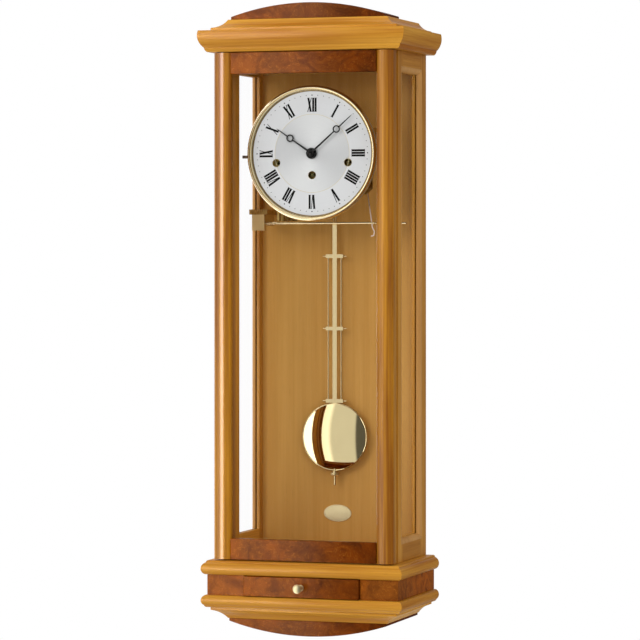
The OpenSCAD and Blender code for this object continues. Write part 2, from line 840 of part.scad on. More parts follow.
// A front plate with the deep bar behind it that holds the rods
module gong_block() color(brass) {
    difference() {
        union() {
            block([block_x, block_front, rod_z - block_down],
                [rod_root, block_front + block_face_t, rod_z + block_up]);
            block([block_x, block_front, rod_z - block_below],
                [rod_root, block_front + block_depth, rod_z + block_up]);
        }
        for (y = rod_ys) translate([rod_root - rod_bite, y, rod_z]) rotate([0, 90, 0])
            cylinder(r = rod_r, h = 2 * rod_bite);
    }
}

// Tuned rods, each longer than the one in front of it
module chime_rods() color(brass) {
    for (i = [0:rod_count - 1]) translate([rod_root - rod_bite, rod_ys[i], rod_z])
        rotate([0, 90, 0]) cylinder(r = rod_r,
            h = rod_tip - rod_root + rod_bite - (rod_count - 1 - i) * rod_longer);
}

hammer_hub_r = 3;
hammer_rod_r = 1.5;

// Hanger under the plates with the rod that the hammers turn on
module hammer_frame() color(steel) {
    low = hub[1] - plate_bottom - 2;
    ys = [block_front - 2.5, rod_ys[rod_count - 1] + 4.5];
    block([hammer_pivot[0] - 6, ys[0], low], [hammer_pivot[0] + 6, ys[1] + 2, low + 2]);
    for (y = ys) block([hammer_pivot[0] - 5, y, hammer_pivot[1] - 4],
        [hammer_pivot[0] + 5, y + 2, low]);
    facing(hammer_pivot, ys[1]) cylinder(r = hammer_rod_r, h = ys[1] - ys[0] - 2);
}

hammer_head_r = 3.2;
hammer_head_h = 14;
hammer_lift = 1.5;

// Hammers, each over its own rod, on one cross rod
module hammers() color(brass) {
    for (i = [0:rod_count - 1]) {
        head_x = rod_root + 20 + 3 * i;
        head_low = rod_z + rod_r + hammer_lift;
        reach = [head_x, head_low + hammer_head_h - 2] - hammer_pivot;
        angle = atan2(reach[1], reach[0]);
        facing([0, 0], rod_ys[i] + 1.5) linear_extrude(3) difference() {
            union() {
                translate(hammer_pivot) circle(r = hammer_hub_r);
                translate(hammer_pivot) rotate(angle) translate([0, -1])
                    square([norm(reach), 2]);
            }
            translate(hammer_pivot) circle(r = hammer_rod_r + fit);
        }
        translate([head_x, rod_ys[i], head_low]) cylinder(r = hammer_head_r, h = hammer_head_h);
    }
}

// Unit vector across the path at its point i, and the strip of width w along the path
function across(path, i) = let (
    d = path[min(i + 1, len(path) - 1)] - path[max(i - 1, 0)]
) [-d[1], d[0]] / norm(d);
function strip(path, w) = concat(
    [for (i = [0:len(path) - 1]) path[i] + across(path, i) * w / 2],
    [for (i = [len(path) - 1:-1:0]) path[i] - across(path, i) * w / 2]);

// Bends of the wire: distances in from the plate's edge and below its foot or the chime rods
wire_foot = [8, -4];
wire_bends = [[1, 6], [-2, 12], [-1, 17], [3, 18]];

// Bent wire that hangs from the back plate beside the chime rods
module release_wire() color(silver) {
    path = concat([[plate_w - wire_foot[0], -plate_bottom - wire_foot[1]]],
        [for (p = wire_bends) [plate_w - p[0], -rod_drop - p[1]]]);
    on_hub([0, 0], rear_plate_y + plate_t + wire_w) linear_extrude(wire_w)
        polygon(strip(path, wire_w));
}

// Lengths of the motion work, counted out from the front plate
cannon_from = 0.5;
cannon_gear_h = 3;
wheel_h = 2;
hour_from = 4.5;
hour_hand_y = face - 2;
hand_t = 1;
minute_hand_y = hour_hand_y - 3.3;

module centre_arbor() color(brass) {
    on_hub([0, 0], minute_arbor_y) cylinder(r = arbor_r, h = minute_arbor_y - minute_hand_y + 3);
    on_hub([0, 0], barrel_rear - barrel_h + 1) rotate(-90) linear_extrude(rim_h + 2) difference() {
        polygon(gear_points(centre_teeth, going_module));
        circle(r = arbor_r);
    }
    on_hub([0, 0], plate_y - cannon_from) difference() {
        union() {
            rotate(motion_angle) linear_extrude(cannon_gear_h)
                polygon(gear_points(cannon_teeth, cannon_module));
            cylinder(r = pipe_r, h = plate_y - cannon_from - minute_hand_y);
        }
        translate([0, 0, -1]) cylinder(r = arbor_r, h = far);
    }
}

module minute_wheel() color(brass) {
    on_hub(motion_at, plate_y - cannon_from - 0.5) difference() {
        rotate(motion_angle + 180) union() {
            rotate(180 / minute_teeth) linear_extrude(wheel_h)
                polygon(gear_points(minute_teeth, cannon_module));
            linear_extrude(hour_from + wheel_h - 0.5)
                polygon(gear_points(small_teeth, hour_module));
        }
        translate([0, 0, -1]) cylinder(r = stud_r + fit, h = far);
    }
}

module hour_wheel() color(brass) {
    on_hub([0, 0], plate_y - hour_from) difference() {
        union() {
            rotate(motion_angle + 180 / hour_teeth) linear_extrude(wheel_h)
                polygon(gear_points(hour_teeth, hour_module));
            cylinder(r = pipe_r + pipe_wall, h = plate_y - hour_from - hour_hand_y);
        }
        translate([0, 0, -1]) cylinder(r = pipe_r + fit, h = far);
    }
}

// A hand that points up: boss, stem, pierced ring and a tip
module hand(len, ring_at, ring_r, boss_r, bore_r) {
    linear_extrude(hand_t) difference() {
        union() {
            circle(r = boss_r);
            translate([0, ring_at]) circle(r = ring_r);
            polygon([[-1.3, 0], [1.3, 0], [0.8, ring_at], [0.55, len - 4], [0.1, len],
                [-0.1, len], [-0.55, len - 4], [-0.8, ring_at]]);
        }
        circle(r = bore_r);
        translate([0, ring_at]) circle(r = ring_r * 0.68);
    }
}

minute_angle = minutes * 6;
hour_angle = 300 + minutes / 2;

module hour_hand() color(blued) {
    on_hub([0, 0], hour_hand_y) rotate(-hour_angle)
        hand(hour_len, hour_len * 0.61, 5.15, 7.5, pipe_r + fit);
}

module minute_hand() color(blued) {
    on_hub([0, 0], minute_hand_y) rotate(-minute_angle)
        hand(minute_len, minute_len * 0.625, 5.15, 4.5, arbor_r);
}

module hand_nut() color(brass) {
    on_hub([0, 0], minute_hand_y - hand_t) difference() {
        cylinder(r = 3, h = 2.4);
        translate([0, 0, -1]) cylinder(r = arbor_r, h = 3);
    }
}

barrel_rear = rear_plate_y - 2;
barrel_h = plate_space - 12;
rim_h = 3;

// Spring barrel with its toothed rim, open in the middle for the winding arbor
module barrel(at, r, teeth, size, turn) {
    on_hub(at, barrel_rear) difference() {
        union() {
            cylinder(r = r, h = barrel_h);
            translate([0, 0, barrel_h]) rotate(turn) linear_extrude(rim_h)
                polygon(gear_points(teeth, size));
        }
        translate([0, 0, -1]) cylinder(r = winder_r + 1 + fit, h = far);
    }
}

module going_barrel() color(brass) {
    barrel(wind_at[0], going_module * going_teeth / 2 - 3, going_teeth, going_module,
        90 + 180 / going_teeth);
}

module strike_barrel() color(brass) {
    barrel(wind_at[1], barrel_r, 72, barrel_r / 33, 0);
}

module chime_barrel() color(brass) {
    barrel(wind_at[2], barrel_r, 72, barrel_r / 33, 0);
}

// Winding arbor: a square end behind the dial, a journal in each plate, a thick middle
module winder(at) {
    square_w = 3.8;
    on_hub(at, rear_plate_y + plate_t) cylinder(r = winder_end_r, h = plate_t + 1);
    on_hub(at, rear_plate_y - 1) cylinder(r = winder_r + 1, h = plate_space - 2);
    on_hub(at, plate_y + plate_t + 1) cylinder(r = winder_r, h = plate_t + 2);
    on_hub(at, plate_y - 1) translate([-square_w / 2, -square_w / 2, 0])
        cube([square_w, square_w, dial_space - 1.5]);
}

module going_winder() color(steel) {
    winder(wind_at[0]);
}

module strike_winder() color(steel) {
    winder(wind_at[1]);
}

module chime_winder() color(steel) {
    winder(wind_at[2]);
}

escape_y = rear_plate_y - 5;

module escape_wheel() color(brass) {
    root = escape_r - 2.4;
    step = 360 / escape_teeth;
    on_hub(pivot - [0, escape_drop], escape_y) linear_extrude(1.2)
        polygon([for (i = [0:escape_teeth - 1], p = [[root, 0], [escape_r, 0.45], [root, 0.55]])
            polar(p[0], (i + p[1]) * step)]);
    on_hub(pivot - [0, escape_drop], rear_plate_y + plate_t)
        cylinder(r = arbor_r, h = plate_space + 2 * plate_t);
}

pallet_gap = 1.2;
crutch_y = rear_plate_y + plate_t + 1.5;

// Anchor, its arbor, and the crutch whose pin passes between the leader's wires
module anchor() color(steel) {
    reach = escape_r + pallet_gap;
    pin_len = -pendulum_y - crutch_y + 6;
    on_hub(pivot, crutch_y + 2) cylinder(r = arbor_r, h = plate_space + 2 * plate_t + 3.5);
    on_hub(pivot, escape_y) linear_extrude(1.2) difference() {
        union() {
            circle(r = 3.5);
            both_sides_2d() polygon([[0, 2.5], [9, -2], [reach * 0.9, -8],
                [reach * 0.9 - 1.6, -9], [7.5, -4.5], [0, -2.5]]);
        }
        circle(r = arbor_r);
    }
    on_hub(pivot, crutch_y + 2) difference() {
        translate([-2.5, -crutch_drop - 2.5, 0]) cube([5, crutch_drop + 5, 1.5]);
        translate([0, 0, -1]) cylinder(r = arbor_r, h = 5);
    }
    on_hub(pivot - [0, crutch_drop], crutch_y + 0.5 + pin_len) cylinder(r = 1, h = pin_len);
}

module both_sides_2d() {
    children();
    mirror([1, 0]) children();
}

// Strike and silent lever: a flat arm behind the bezel with its tab outside it
module silent_lever() color("#7d6f62") {
    tab = [lever_gap - side_in, lever_at[1]];
    on_hub([0, 0], plate_y - 5) difference() {
        linear_extrude(1.5) union() {
            translate(lever_at) circle(r = 4);
            translate([tab[0], tab[1] - 2]) square([lever_at[0] - tab[0], 4]);
        }
        translate([lever_at[0], lever_at[1], -1]) cylinder(r = lever_stud_r + fit, h = 5);
    }
}

leader_r = 0.6;
leader_x = 1.85;
spring_len = 10;
spring_low = pivot_z - 4 - spring_len;

// Suspension block on its pin, the flat spring and the two leader wires with their end blocks
module pendulum_leader() color(brass) {
    facing([0, pivot_z], -pendulum_y + 3.9) cylinder(r = pin_r, h = 7.8);
    difference() {
        block([-3, -pendulum_y - 1.8, pivot_z - 4], [3, -pendulum_y + 1.8, pivot_z + 3]);
        facing([0, pivot_z], 0) cylinder(r = pin_r, h = far);
    }
    block([-2.5, -pendulum_y - 0.2, spring_low], [2.5, -pendulum_y + 0.2, pivot_z - 4]);
    block([-4, -pendulum_y - 1.5, spring_low - 6], [4, -pendulum_y + 1.5, spring_low]);
    both_sides() translate([leader_x, -pendulum_y, rod_top])
        cylinder(r = leader_r, h = spring_low - 6 - rod_top);
}

bar_w = 25;

// Flat middle rod with its threaded end, the thin side rods and the three crossbars
module pendulum_rods() color(brass) {
    y = -pendulum_y;
    block([-rod_half[0], y - rod_half[1], thread_top], [rod_half[0], y + rod_half[1], rod_top]);
    translate([0, y, thread_end]) cylinder(r = thread_r, h = thread_top - thread_end);
    both_sides() difference() {
        translate([side_rod_x, y, bar_zs[0]]) cylinder(r = 1, h = bar_zs[2] - bar_zs[0], $fn = 24);
        for (z = bar_zs) block([0, y - 3, z - bar_half], [bar_w, y + 3, z + bar_half]);
    }
    for (z = bar_zs) difference() {
        union() {
            block([-bar_w / 2, y - 2.2, z - bar_half], [bar_w / 2, y + 2.2, z + bar_half]);
            translate([-bar_w / 2 - 4.5, y, z]) rotate([0, 90, 0]) cylinder(r = 0.8, h = bar_w + 9);
        }
        block([-rod_half[0], y - rod_half[1], z - 5], [rod_half[0], y + rod_half[1], z + 5]);
    }
}

// Lens-shaped bob on the middle rod
module bob() color(brass) {
    difference() {
        facing([0, bob_z], -pendulum_y) rotate_extrude($fn = 96)
            polygon(concat(arc([bob_r, 0.8], [0, bob_t / 2], -bob_t * 0.16, 12),
                arc([0, -bob_t / 2], [bob_r, -0.8], -bob_t * 0.16, 12)));
        block([-rod_half[0], -pendulum_y - rod_half[1], thread_top],
            [rod_half[0], -pendulum_y + rod_half[1], bob_z + far]);
        translate([0, -pendulum_y, bob_z - 2 * bob_r])
            cylinder(r = thread_r + fit, h = thread_top - bob_z + 2 * bob_r);
    }
}

module rating_nut() color(brass) {
    difference() {
        translate([0, -pendulum_y, nut_z]) cylinder(r = 5.75, h = nut_h);
        translate([0, -pendulum_y, nut_z - 1]) cylinder(r = thread_r + fit, h = nut_h + 2);
    }
}

top_pediment();
cap_moulding();
crown_moulding();
case_boards();
side_stiles();
side_rails();
window_mouldings();
side_glass();
door_jambs();
back_panel();
hanger_plate();
wood_screws();
base_moulding();
frieze_boards();
lower_moulding();
lower_cove();
bottom_pediment();
badge();
case_hinge_leaves();
catch_magnets();
door_columns();
door_rails();
door_glass();
glazing_beads();
door_hinge_leaves();
catch_plates();
drawer_front();
drawer_box();
drawer_knob();
movement_brackets();
front_plate();
back_plate();
plate_pillars();
dial();
bezel();
suspension_cock();
gong_block();
chime_rods();
hammer_frame();
release_wire();
centre_arbor();
minute_hand();
hand_nut();
minute_wheel();
hour_wheel();
hour_hand();
going_barrel();
strike_barrel();
chime_barrel();
going_winder();
strike_winder();
chime_winder();
escape_wheel();
anchor();
silent_lever();
hammers();
pendulum_leader();
pendulum_rods();
bob();
rating_nut();
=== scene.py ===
# Finishes, dial work and softened edges for the wall regulator clock
import json
import math

import bmesh
import bpy
from mathutils import Matrix, Vector

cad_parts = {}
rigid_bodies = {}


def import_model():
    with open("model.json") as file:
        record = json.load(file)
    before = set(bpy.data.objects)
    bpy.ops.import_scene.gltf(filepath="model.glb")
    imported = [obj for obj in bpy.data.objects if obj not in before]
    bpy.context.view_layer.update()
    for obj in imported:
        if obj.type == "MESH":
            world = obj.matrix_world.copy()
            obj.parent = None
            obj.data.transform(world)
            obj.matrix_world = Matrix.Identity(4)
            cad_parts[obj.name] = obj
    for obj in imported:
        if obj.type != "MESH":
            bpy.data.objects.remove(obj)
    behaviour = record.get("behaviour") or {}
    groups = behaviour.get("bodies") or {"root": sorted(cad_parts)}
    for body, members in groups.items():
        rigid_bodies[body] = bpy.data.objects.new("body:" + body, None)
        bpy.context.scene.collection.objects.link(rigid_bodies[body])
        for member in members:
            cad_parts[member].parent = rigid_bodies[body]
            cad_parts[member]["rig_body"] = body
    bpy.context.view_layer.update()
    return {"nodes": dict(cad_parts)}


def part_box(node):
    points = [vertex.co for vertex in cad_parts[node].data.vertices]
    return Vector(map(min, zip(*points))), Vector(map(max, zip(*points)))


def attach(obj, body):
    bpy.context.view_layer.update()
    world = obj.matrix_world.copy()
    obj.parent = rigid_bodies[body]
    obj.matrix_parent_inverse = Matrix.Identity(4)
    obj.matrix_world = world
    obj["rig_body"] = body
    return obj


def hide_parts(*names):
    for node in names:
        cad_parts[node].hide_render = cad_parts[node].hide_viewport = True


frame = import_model()
nodes = frame["nodes"]
scene = bpy.context.scene
print("frame loaded with", len(nodes), "nodes")

millimetre = 0.001


def middleOf(node):
    low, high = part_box(node)
    return (low + high) / 2


# Places taken from the frame, in metres
hub = middleOf("hand_nut")
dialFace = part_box("dial")[0].y
friezeFront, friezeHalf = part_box("frieze_boards")[0].y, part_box("frieze_boards")[1].x

# ---- camera ----
# the photograph's view: place in metres, turn in degrees, lens in millimetres, shift in sensor widths
photoView = dict(place=(1.3847, -4.2647, -0.2236), turn=18.359, lens=181.4, shift=-0.1079)

cameraData = bpy.data.cameras.new("photoCamera")
cameraData.lens, cameraData.sensor_width = photoView["lens"], 36
cameraData.shift_y = photoView["shift"]
cameraData.clip_start, cameraData.clip_end = 0.05, 80
camera = bpy.data.objects.new("photoCamera", cameraData)
camera.location = photoView["place"]
camera.rotation_euler = (math.radians(90), 0, math.radians(photoView["turn"]))
scene.collection.objects.link(camera)
scene.camera = camera
scene.view_settings.view_transform = "Standard"


# ---- small helpers ----
def tone(red, green, blue):  # a screen colour, 0 to 255, as the linear colour that nodes take
    def linear(c):
        c /= 255
        return c / 12.92 if c <= 0.04045 else ((c + 0.055) / 1.055) ** 2.4
    return (linear(red), linear(green), linear(blue), 1)


def addNode(tree, kind, inputs=None, **settings):
    node = tree.nodes.new(kind)
    for key, value in settings.items():
        setattr(node, key, value)
    for key, value in (inputs or {}).items():
        if isinstance(value, bpy.types.NodeSocket):
            tree.links.new(value, node.inputs[key])
        else:
            node.inputs[key].default_value = value
    return node


def mathNode(tree, operation, *values, clamp=False):
    node = addNode(tree, "ShaderNodeMath", dict(enumerate(values)), operation=operation)
    node.use_clamp = clamp
    return node.outputs[0]


def vectorMath(tree, operation, first, second):
    return addNode(tree, "ShaderNodeVectorMath", {0: first, 1: second}, operation=operation).outputs[0]


def mixColour(tree, share, first, second, blend="MIX"):
    node = addNode(tree, "ShaderNodeMix", data_type="RGBA", blend_type=blend)
    for socket, value in ((node.inputs[0], share), (node.inputs[6], first), (node.inputs[7], second)):
        if isinstance(value, bpy.types.NodeSocket):
            tree.links.new(value, socket)
        else:
            socket.default_value = value
    return node.outputs[2]


def stretch(tree, value, low, high, to=(0, 1)):
    node = addNode(tree, "ShaderNodeMapRange", {0: value, 1: low, 2: high, 3: to[0], 4: to[1]})
    return node.outputs[0]


def shaderGroup(name, inputs, outputs):
    group = bpy.data.node_groups.new(name, "ShaderNodeTree")
    for label, kind, value in inputs:
        socket = group.interface.new_socket(label, in_out="INPUT", socket_type=kind)
        if value is not None:
            socket.default_value = value
    for label, kind in outputs:
        group.interface.new_socket(label, in_out="OUTPUT", socket_type=kind)
    start, end = group.nodes.new("NodeGroupInput"), group.nodes.new("NodeGroupOutput")
    return group, start.outputs, end


def place(tree, vector, scale, offset=(0, 0, 0)):
    return addNode(tree, "ShaderNodeMapping",
                   {"Vector": vector, "Scale": scale, "Location": offset}).outputs[0]


def noise(tree, vector, scale, detail=2.0, rough=0.5, distortion=0.0):
    return addNode(tree, "ShaderNodeTexNoise", {"Vector": vector, "Scale": scale, "Detail": detail,
                   "Roughness": rough, "Distortion": distortion}).outputs["Fac"]


# ---- shader groups ----
colourSocket, valueSocket, vectorSocket = "NodeSocketColor", "NodeSocketFloat", "NodeSocketVector"
finishOutputs = [("Colour", colourSocket), ("Roughness", valueSocket), ("Height", valueSocket)]

# scales along and across the grain, the share of each layer in the tone, and where pores begin and end
grainLook = dict(broad=(1.6, 26, 26), cloud=(3, 9, 9), streak=(7, 330, 330), fibre=(60, 1900, 1900),
                 bands=(1.1, 17, 17), shares=dict(broad=1.3, cloud=0.9, streak=1.1, bands=0.26),
                 poreRange=(0.66, 0.78), poreShare=0.5)


def makeGrainGroup(look):
    # straight-grained wood: the vector runs along the grain in X and across it in Y and Z
    group, source, end = shaderGroup("straightGrain", [
        ("Vector", vectorSocket, None), ("Light", colourSocket, tone(214, 160, 84)),
        ("Dark", colourSocket, tone(170, 108, 40)), ("Contrast", valueSocket, 1.0),
        ("Gloss", valueSocket, 0.3)], finishOutputs)
    vector = source["Vector"]
    streak = noise(group, place(group, vector, look["streak"], (1, 5, 2)), 1, 3, 0.6)
    fibre = noise(group, place(group, vector, look["fibre"], (4, 2, 8)), 1, 2, 0.5)
    wave = {"Vector": place(group, vector, look["bands"]), "Scale": 1.0, "Distortion": 6.0, "Detail": 2.0,
            "Detail Scale": 1.2}
    layers = dict(broad=noise(group, place(group, vector, look["broad"]), 1, 3, 0.55, 0.4),
                  cloud=noise(group, place(group, vector, look["cloud"], (3, 1, 7)), 1, 2), streak=streak,
                  bands=addNode(group, "ShaderNodeTexWave", wave, bands_direction="Y").outputs["Fac"])
    mixed = 0.5
    for layer, share in look["shares"].items():
        centred = mathNode(group, "SUBTRACT", layers[layer], 0.5)
        mixed = mathNode(group, "MULTIPLY_ADD", centred, share, mixed)
    centred = mathNode(group, "SUBTRACT", mixed, 0.5)
    share = mathNode(group, "MULTIPLY_ADD", centred, source["Contrast"], 0.5, clamp=True)
    colour = mixColour(group, share, source["Light"], source["Dark"])
    pores = stretch(group, fibre, *look["poreRange"])
    darker = mixColour(group, 1.0, source["Dark"], tone(190, 180, 170), "MULTIPLY")
    colour = mixColour(group, mathNode(group, "MULTIPLY", pores, look["poreShare"]), colour, darker)
    group.links.new(colour, end.inputs["Colour"])
    rough = mathNode(group, "MULTIPLY_ADD", streak, 0.12, source["Gloss"])
    group.links.new(rough, end.inputs["Roughness"])
    height = mathNode(group, "MULTIPLY_ADD", pores, -0.6, streak)
    group.links.new(height, end.inputs["Height"])
    return group


# scales of the burl's parts, how far its figure drifts in metres, the tint of the painted shade that darkens
# its right side, and where that shade begins and ends along X in metres
burlLook = dict(drift=16.0, pull=(0.06, 0.06, 0.06), patches=11, clouds=34, veins=150, flecks=280, eyes=80.0,
                rightShadeTint=tone(174, 156, 138), rightShadeSpan=(-0.07, 0.11))


def makeBurlGroup(look):
    # burl: large drifting clouds, soft rolling bands, fine light flecks and a few small eyes
    group, source, end = shaderGroup("burlFigure", [
        ("Vector", vectorSocket, None), ("Warm", colourSocket, tone(172, 92, 34)),
        ("Plain", colourSocket, tone(146, 84, 42)), ("Deep", colourSocket, tone(96, 46, 22)),
        ("Fleck", colourSocket, tone(196, 122, 62)), ("RightShade", valueSocket, 0.0),
        ("Gloss", valueSocket, 0.2)], finishOutputs)
    vector = source["Vector"]
    drift = addNode(group, "ShaderNodeTexNoise", {"Vector": vector, "Scale": look["drift"], "Detail": 3.0})
    pulled = vectorMath(group, "MULTIPLY", drift.outputs["Color"], look["pull"])
    bent = vectorMath(group, "ADD", vector, pulled)
    patches = noise(group, bent, look["patches"], 2.5, 0.5, 0.6)
    clouds = noise(group, bent, look["clouds"], 4, 0.6, 1.6)
    veins = noise(group, bent, look["veins"], 3, 0.5, 3.0)
    flecks = noise(group, bent, look["flecks"], 2, 0.6, 1.6)
    cells = {"Vector": bent, "Scale": look["eyes"], "Randomness": 1.0}
    eyes = addNode(group, "ShaderNodeTexVoronoi", cells).outputs["Distance"]
    warm = mixColour(group, stretch(group, patches, 0.36, 0.62), source["Plain"], source["Warm"])
    colour = mixColour(group, stretch(group, clouds, 0.42, 0.72, (0, 0.75)), warm, source["Deep"])
    colour = mixColour(group, stretch(group, veins, 0.56, 0.7, (0, 0.28)), colour, source["Deep"])
    colour = mixColour(group, stretch(group, eyes, 0.14, 0.05, (0, 0.4)), colour, source["Deep"])
    pale = mathNode(group, "MULTIPLY", stretch(group, flecks, 0.54, 0.7, (0, 0.5)),
                    stretch(group, clouds, 0.7, 0.45))
    colour = mixColour(group, pale, colour, source["Fleck"])
    # painted shade: the figure is darkened by the tint as far as the share given, growing towards the right
    # side
    colour = mixColour(group, source["RightShade"], colour, look["rightShadeTint"], "MULTIPLY")
    group.links.new(colour, end.inputs["Colour"])
    group.links.new(mathNode(group, "MULTIPLY_ADD", clouds, 0.08, source["Gloss"]), end.inputs["Roughness"])
    group.links.new(veins, end.inputs["Height"])
    return group


def makeBrushGroup():
    # fine handling and polishing marks on metal
    group, source, end = shaderGroup("metalMarks", [
        ("Vector", vectorSocket, None), ("Base", colourSocket, tone(222, 200, 150)),
        ("Gloss", valueSocket, 0.15), ("Marks", valueSocket, 0.08)], finishOutputs)
    vector = source["Vector"]
    fine = noise(group, place(group, vector, (900, 900, 40)), 1, 3, 0.6)
    cloud = noise(group, place(group, vector, (30, 30, 30)), 1, 3)
    spread = mathNode(group, "SUBTRACT", mathNode(group, "MULTIPLY_ADD", cloud, 0.6, fine), 0.8)
    rough = mathNode(group, "MULTIPLY_ADD", spread, source["Marks"], source["Gloss"], clamp=True)
    group.links.new(rough, end.inputs["Roughness"])
    darker = mixColour(group, 0.12, source["Base"], tone(120, 90, 40))
    group.links.new(mixColour(group, cloud, source["Base"], darker), end.inputs["Colour"])
    group.links.new(fine, end.inputs["Height"])
    return group


grainGroup, burlGroup, brushGroup = makeGrainGroup(grainLook), makeBurlGroup(burlLook), makeBrushGroup()
print("shader groups ready")


# ---- materials ----
def startMaterial(name):
    material = bpy.data.materials.new(name)
    material.use_nodes = True
    tree = material.node_tree
    tree.nodes.clear()
    shader = tree.nodes.new("ShaderNodeBsdfPrincipled")
    output = tree.nodes.new("ShaderNodeOutputMaterial")
    tree.links.new(shader.outputs[0], output.inputs["Surface"])
    spot = addNode(tree, "ShaderNodeTexCoord").outputs["Object"]
    return material, tree, shader, spot


def finishShader(tree, shader, group, inputs, bump, bumpDepth, **plain):
    effect = tree.nodes.new("ShaderNodeGroup")
    effect.node_tree = group
    for key, value in inputs.items():
        if isinstance(value, bpy.types.NodeSocket):
            tree.links.new(value, effect.inputs[key])
        else:
            effect.inputs[key].default_value = value
    tree.links.new(effect.outputs["Colour"], shader.inputs["Base Color"])
    tree.links.new(effect.outputs["Roughness"], shader.inputs["Roughness"])
    if bump:
        relief = addNode(tree, "ShaderNodeBump", {"Height": effect.outputs["Height"],
                         "Strength": bump, "Distance": bumpDepth})
        tree.links.new(relief.outputs[0], shader.inputs["Normal"])
    for key, value in plain.items():
        shader.inputs[key.replace("_", " ")].default_value = value


grainOrders = dict(x=("X", "Y", "Z"), y=("Y", "X", "Z"), z=("Z", "X", "Y"))


def alongGrain(tree, spot, axis):
    parts = addNode(tree, "ShaderNodeSeparateXYZ", {0: spot}).outputs
    order = grainOrders[axis]
    return addNode(tree, "ShaderNodeCombineXYZ",
                   {i: parts[letter] for i, letter in enumerate(order)}).outputs[0]


woodTones = dict(
    honey=dict(light=tone(224, 164, 58), dark=tone(164, 96, 10), contrast=1.05, gloss=0.3, coat=0.06),
    # column: a darker, deeper copy of the honey wood for the door columns, painted shade
    column=dict(light=tone(206, 141, 26), dark=tone(138, 79, 2), contrast=1.35, gloss=0.3, coat=0.5),
    frameWood=dict(light=tone(212, 152, 60), dark=tone(158, 98, 24), contrast=1.15, gloss=0.34, coat=0.12),
    sideWood=dict(light=tone(208, 156, 90), dark=tone(176, 123, 64), contrast=0.8, gloss=0.34, coat=0.12),
    inner=dict(light=tone(192, 136, 74), dark=tone(148, 96, 46), contrast=0.9, gloss=0.42, coat=0.05),
    veneer=dict(light=tone(216, 164, 88), dark=tone(192, 139, 66), contrast=0.7, gloss=0.36, coat=0.05),
)
woodMade = []


def wood(kind, axis, shift=(0, 0, 0)):
    # axis is x, y or z, or mitred for front strips along x whose returns run along y
    look = woodTones[kind]
    material, tree, shader, spot = startMaterial(f"{kind}_{axis}_{len(woodMade)}")
    if axis == "mitred":
        parts = addNode(tree, "ShaderNodeSeparateXYZ", {0: spot}).outputs
        beyond = mathNode(tree, "ADD", mathNode(tree, "ABSOLUTE", parts["X"]), parts["Y"])
        onReturn = mathNode(tree, "GREATER_THAN", beyond, friezeHalf + friezeFront)
        mixer = addNode(tree, "ShaderNodeMix", {0: onReturn}, data_type="VECTOR")
        tree.links.new(alongGrain(tree, spot, "x"), mixer.inputs[4])
        tree.links.new(alongGrain(tree, spot, "y"), mixer.inputs[5])
        vector = mixer.outputs[1]
    else:
        vector = alongGrain(tree, spot, axis)
    vector = place(tree, vector, (1, 1, 1), shift)
    finishShader(tree, shader, grainGroup, {"Vector": vector, "Light": look["light"], "Dark": look["dark"],
                 "Contrast": look["contrast"], "Gloss": look["gloss"]}, 0.12, 0.0002,
                 Coat_Weight=look["coat"], Coat_Roughness=0.2, Specular_IOR_Level=0.1)
    woodMade.append(material)
    return material


def burl(name, shift, warm=tone(156, 79, 11), plain=tone(128, 69, 18), deep=tone(74, 34, 6),
         fleck=tone(204, 126, 44), rightShade=1.0):
    material, tree, shader, spot = startMaterial(name)
    # the piece's place from left to right sets how much painted shade darkens its burl, the right side most
    across = addNode(tree, "ShaderNodeSeparateXYZ", {0: spot}).outputs["X"]
    finishShader(tree, shader, burlGroup, {"Vector": place(tree, spot, (1, 1, 1), shift), "Warm": warm,
                 "Plain": plain, "Deep": deep, "Fleck": fleck, "Gloss": 0.2,
                 "RightShade": stretch(tree, across, *burlLook["rightShadeSpan"], (0, rightShade))}, 0.05, 0.0002,
                 Coat_Weight=0.01, Coat_Roughness=0.1, Specular_IOR_Level=0.02)
    return material


def metal(name, base, gloss, marks, bump=0.03):
    material, tree, shader, spot = startMaterial(name)
    finishShader(tree, shader, brushGroup, {"Vector": spot, "Base": base, "Gloss": gloss, "Marks": marks},
                 bump, 0.0001, Metallic=1.0)
    return material


def letThrough(tree, shader, share, colour):
    # a share of the rays goes straight through the material
    through = addNode(tree, "ShaderNodeBsdfTransparent", {"Color": colour})
    mixed = addNode(tree, "ShaderNodeMixShader", {0: share})
    tree.links.new(shader.outputs[0], mixed.inputs[1])
    tree.links.new(through.outputs[0], mixed.inputs[2])
    output = next(node for node in tree.nodes if node.type == "OUTPUT_MATERIAL")
    tree.links.new(mixed.outputs[0], output.inputs["Surface"])


glassLook = dict(ior=1.04, tint=(1, 1, 1, 1), dust=(0.0, 0.012))


def clearGlass(name, look):
    # light and shadow rays pass straight through, so that the case isn't dark inside
    material, tree, shader, spot = startMaterial(name)
    shader.inputs["Base Color"].default_value = look["tint"]
    shader.inputs["Transmission Weight"].default_value = 1.0
    shader.inputs["IOR"].default_value = look["ior"]
    dust = noise(tree, place(tree, spot, (60, 60, 60)), 1, 3)
    tree.links.new(stretch(tree, dust, 0.4, 0.8, look["dust"]), shader.inputs["Roughness"])
    path = addNode(tree, "ShaderNodeLightPath").outputs
    passing = mathNode(tree, "MAXIMUM", path["Is Shadow Ray"], path["Is Diffuse Ray"])
    letThrough(tree, shader, passing, (0.99, 0.995, 0.99, 1))
    return material


# light and dark tones of the spun rings, the tone of the painted sheen and its share, and where the centre
# disc ends, in metres
silverLook = dict(outer=(tone(216, 217, 219), tone(207, 208, 210)),
                  inner=(tone(222, 223, 223), tone(207, 208, 209)),
                  paintedSheen=tone(172, 173, 175), paintedSheenShare=0.55, discEdge=(0.0531, 0.0529), rings=2600.0)


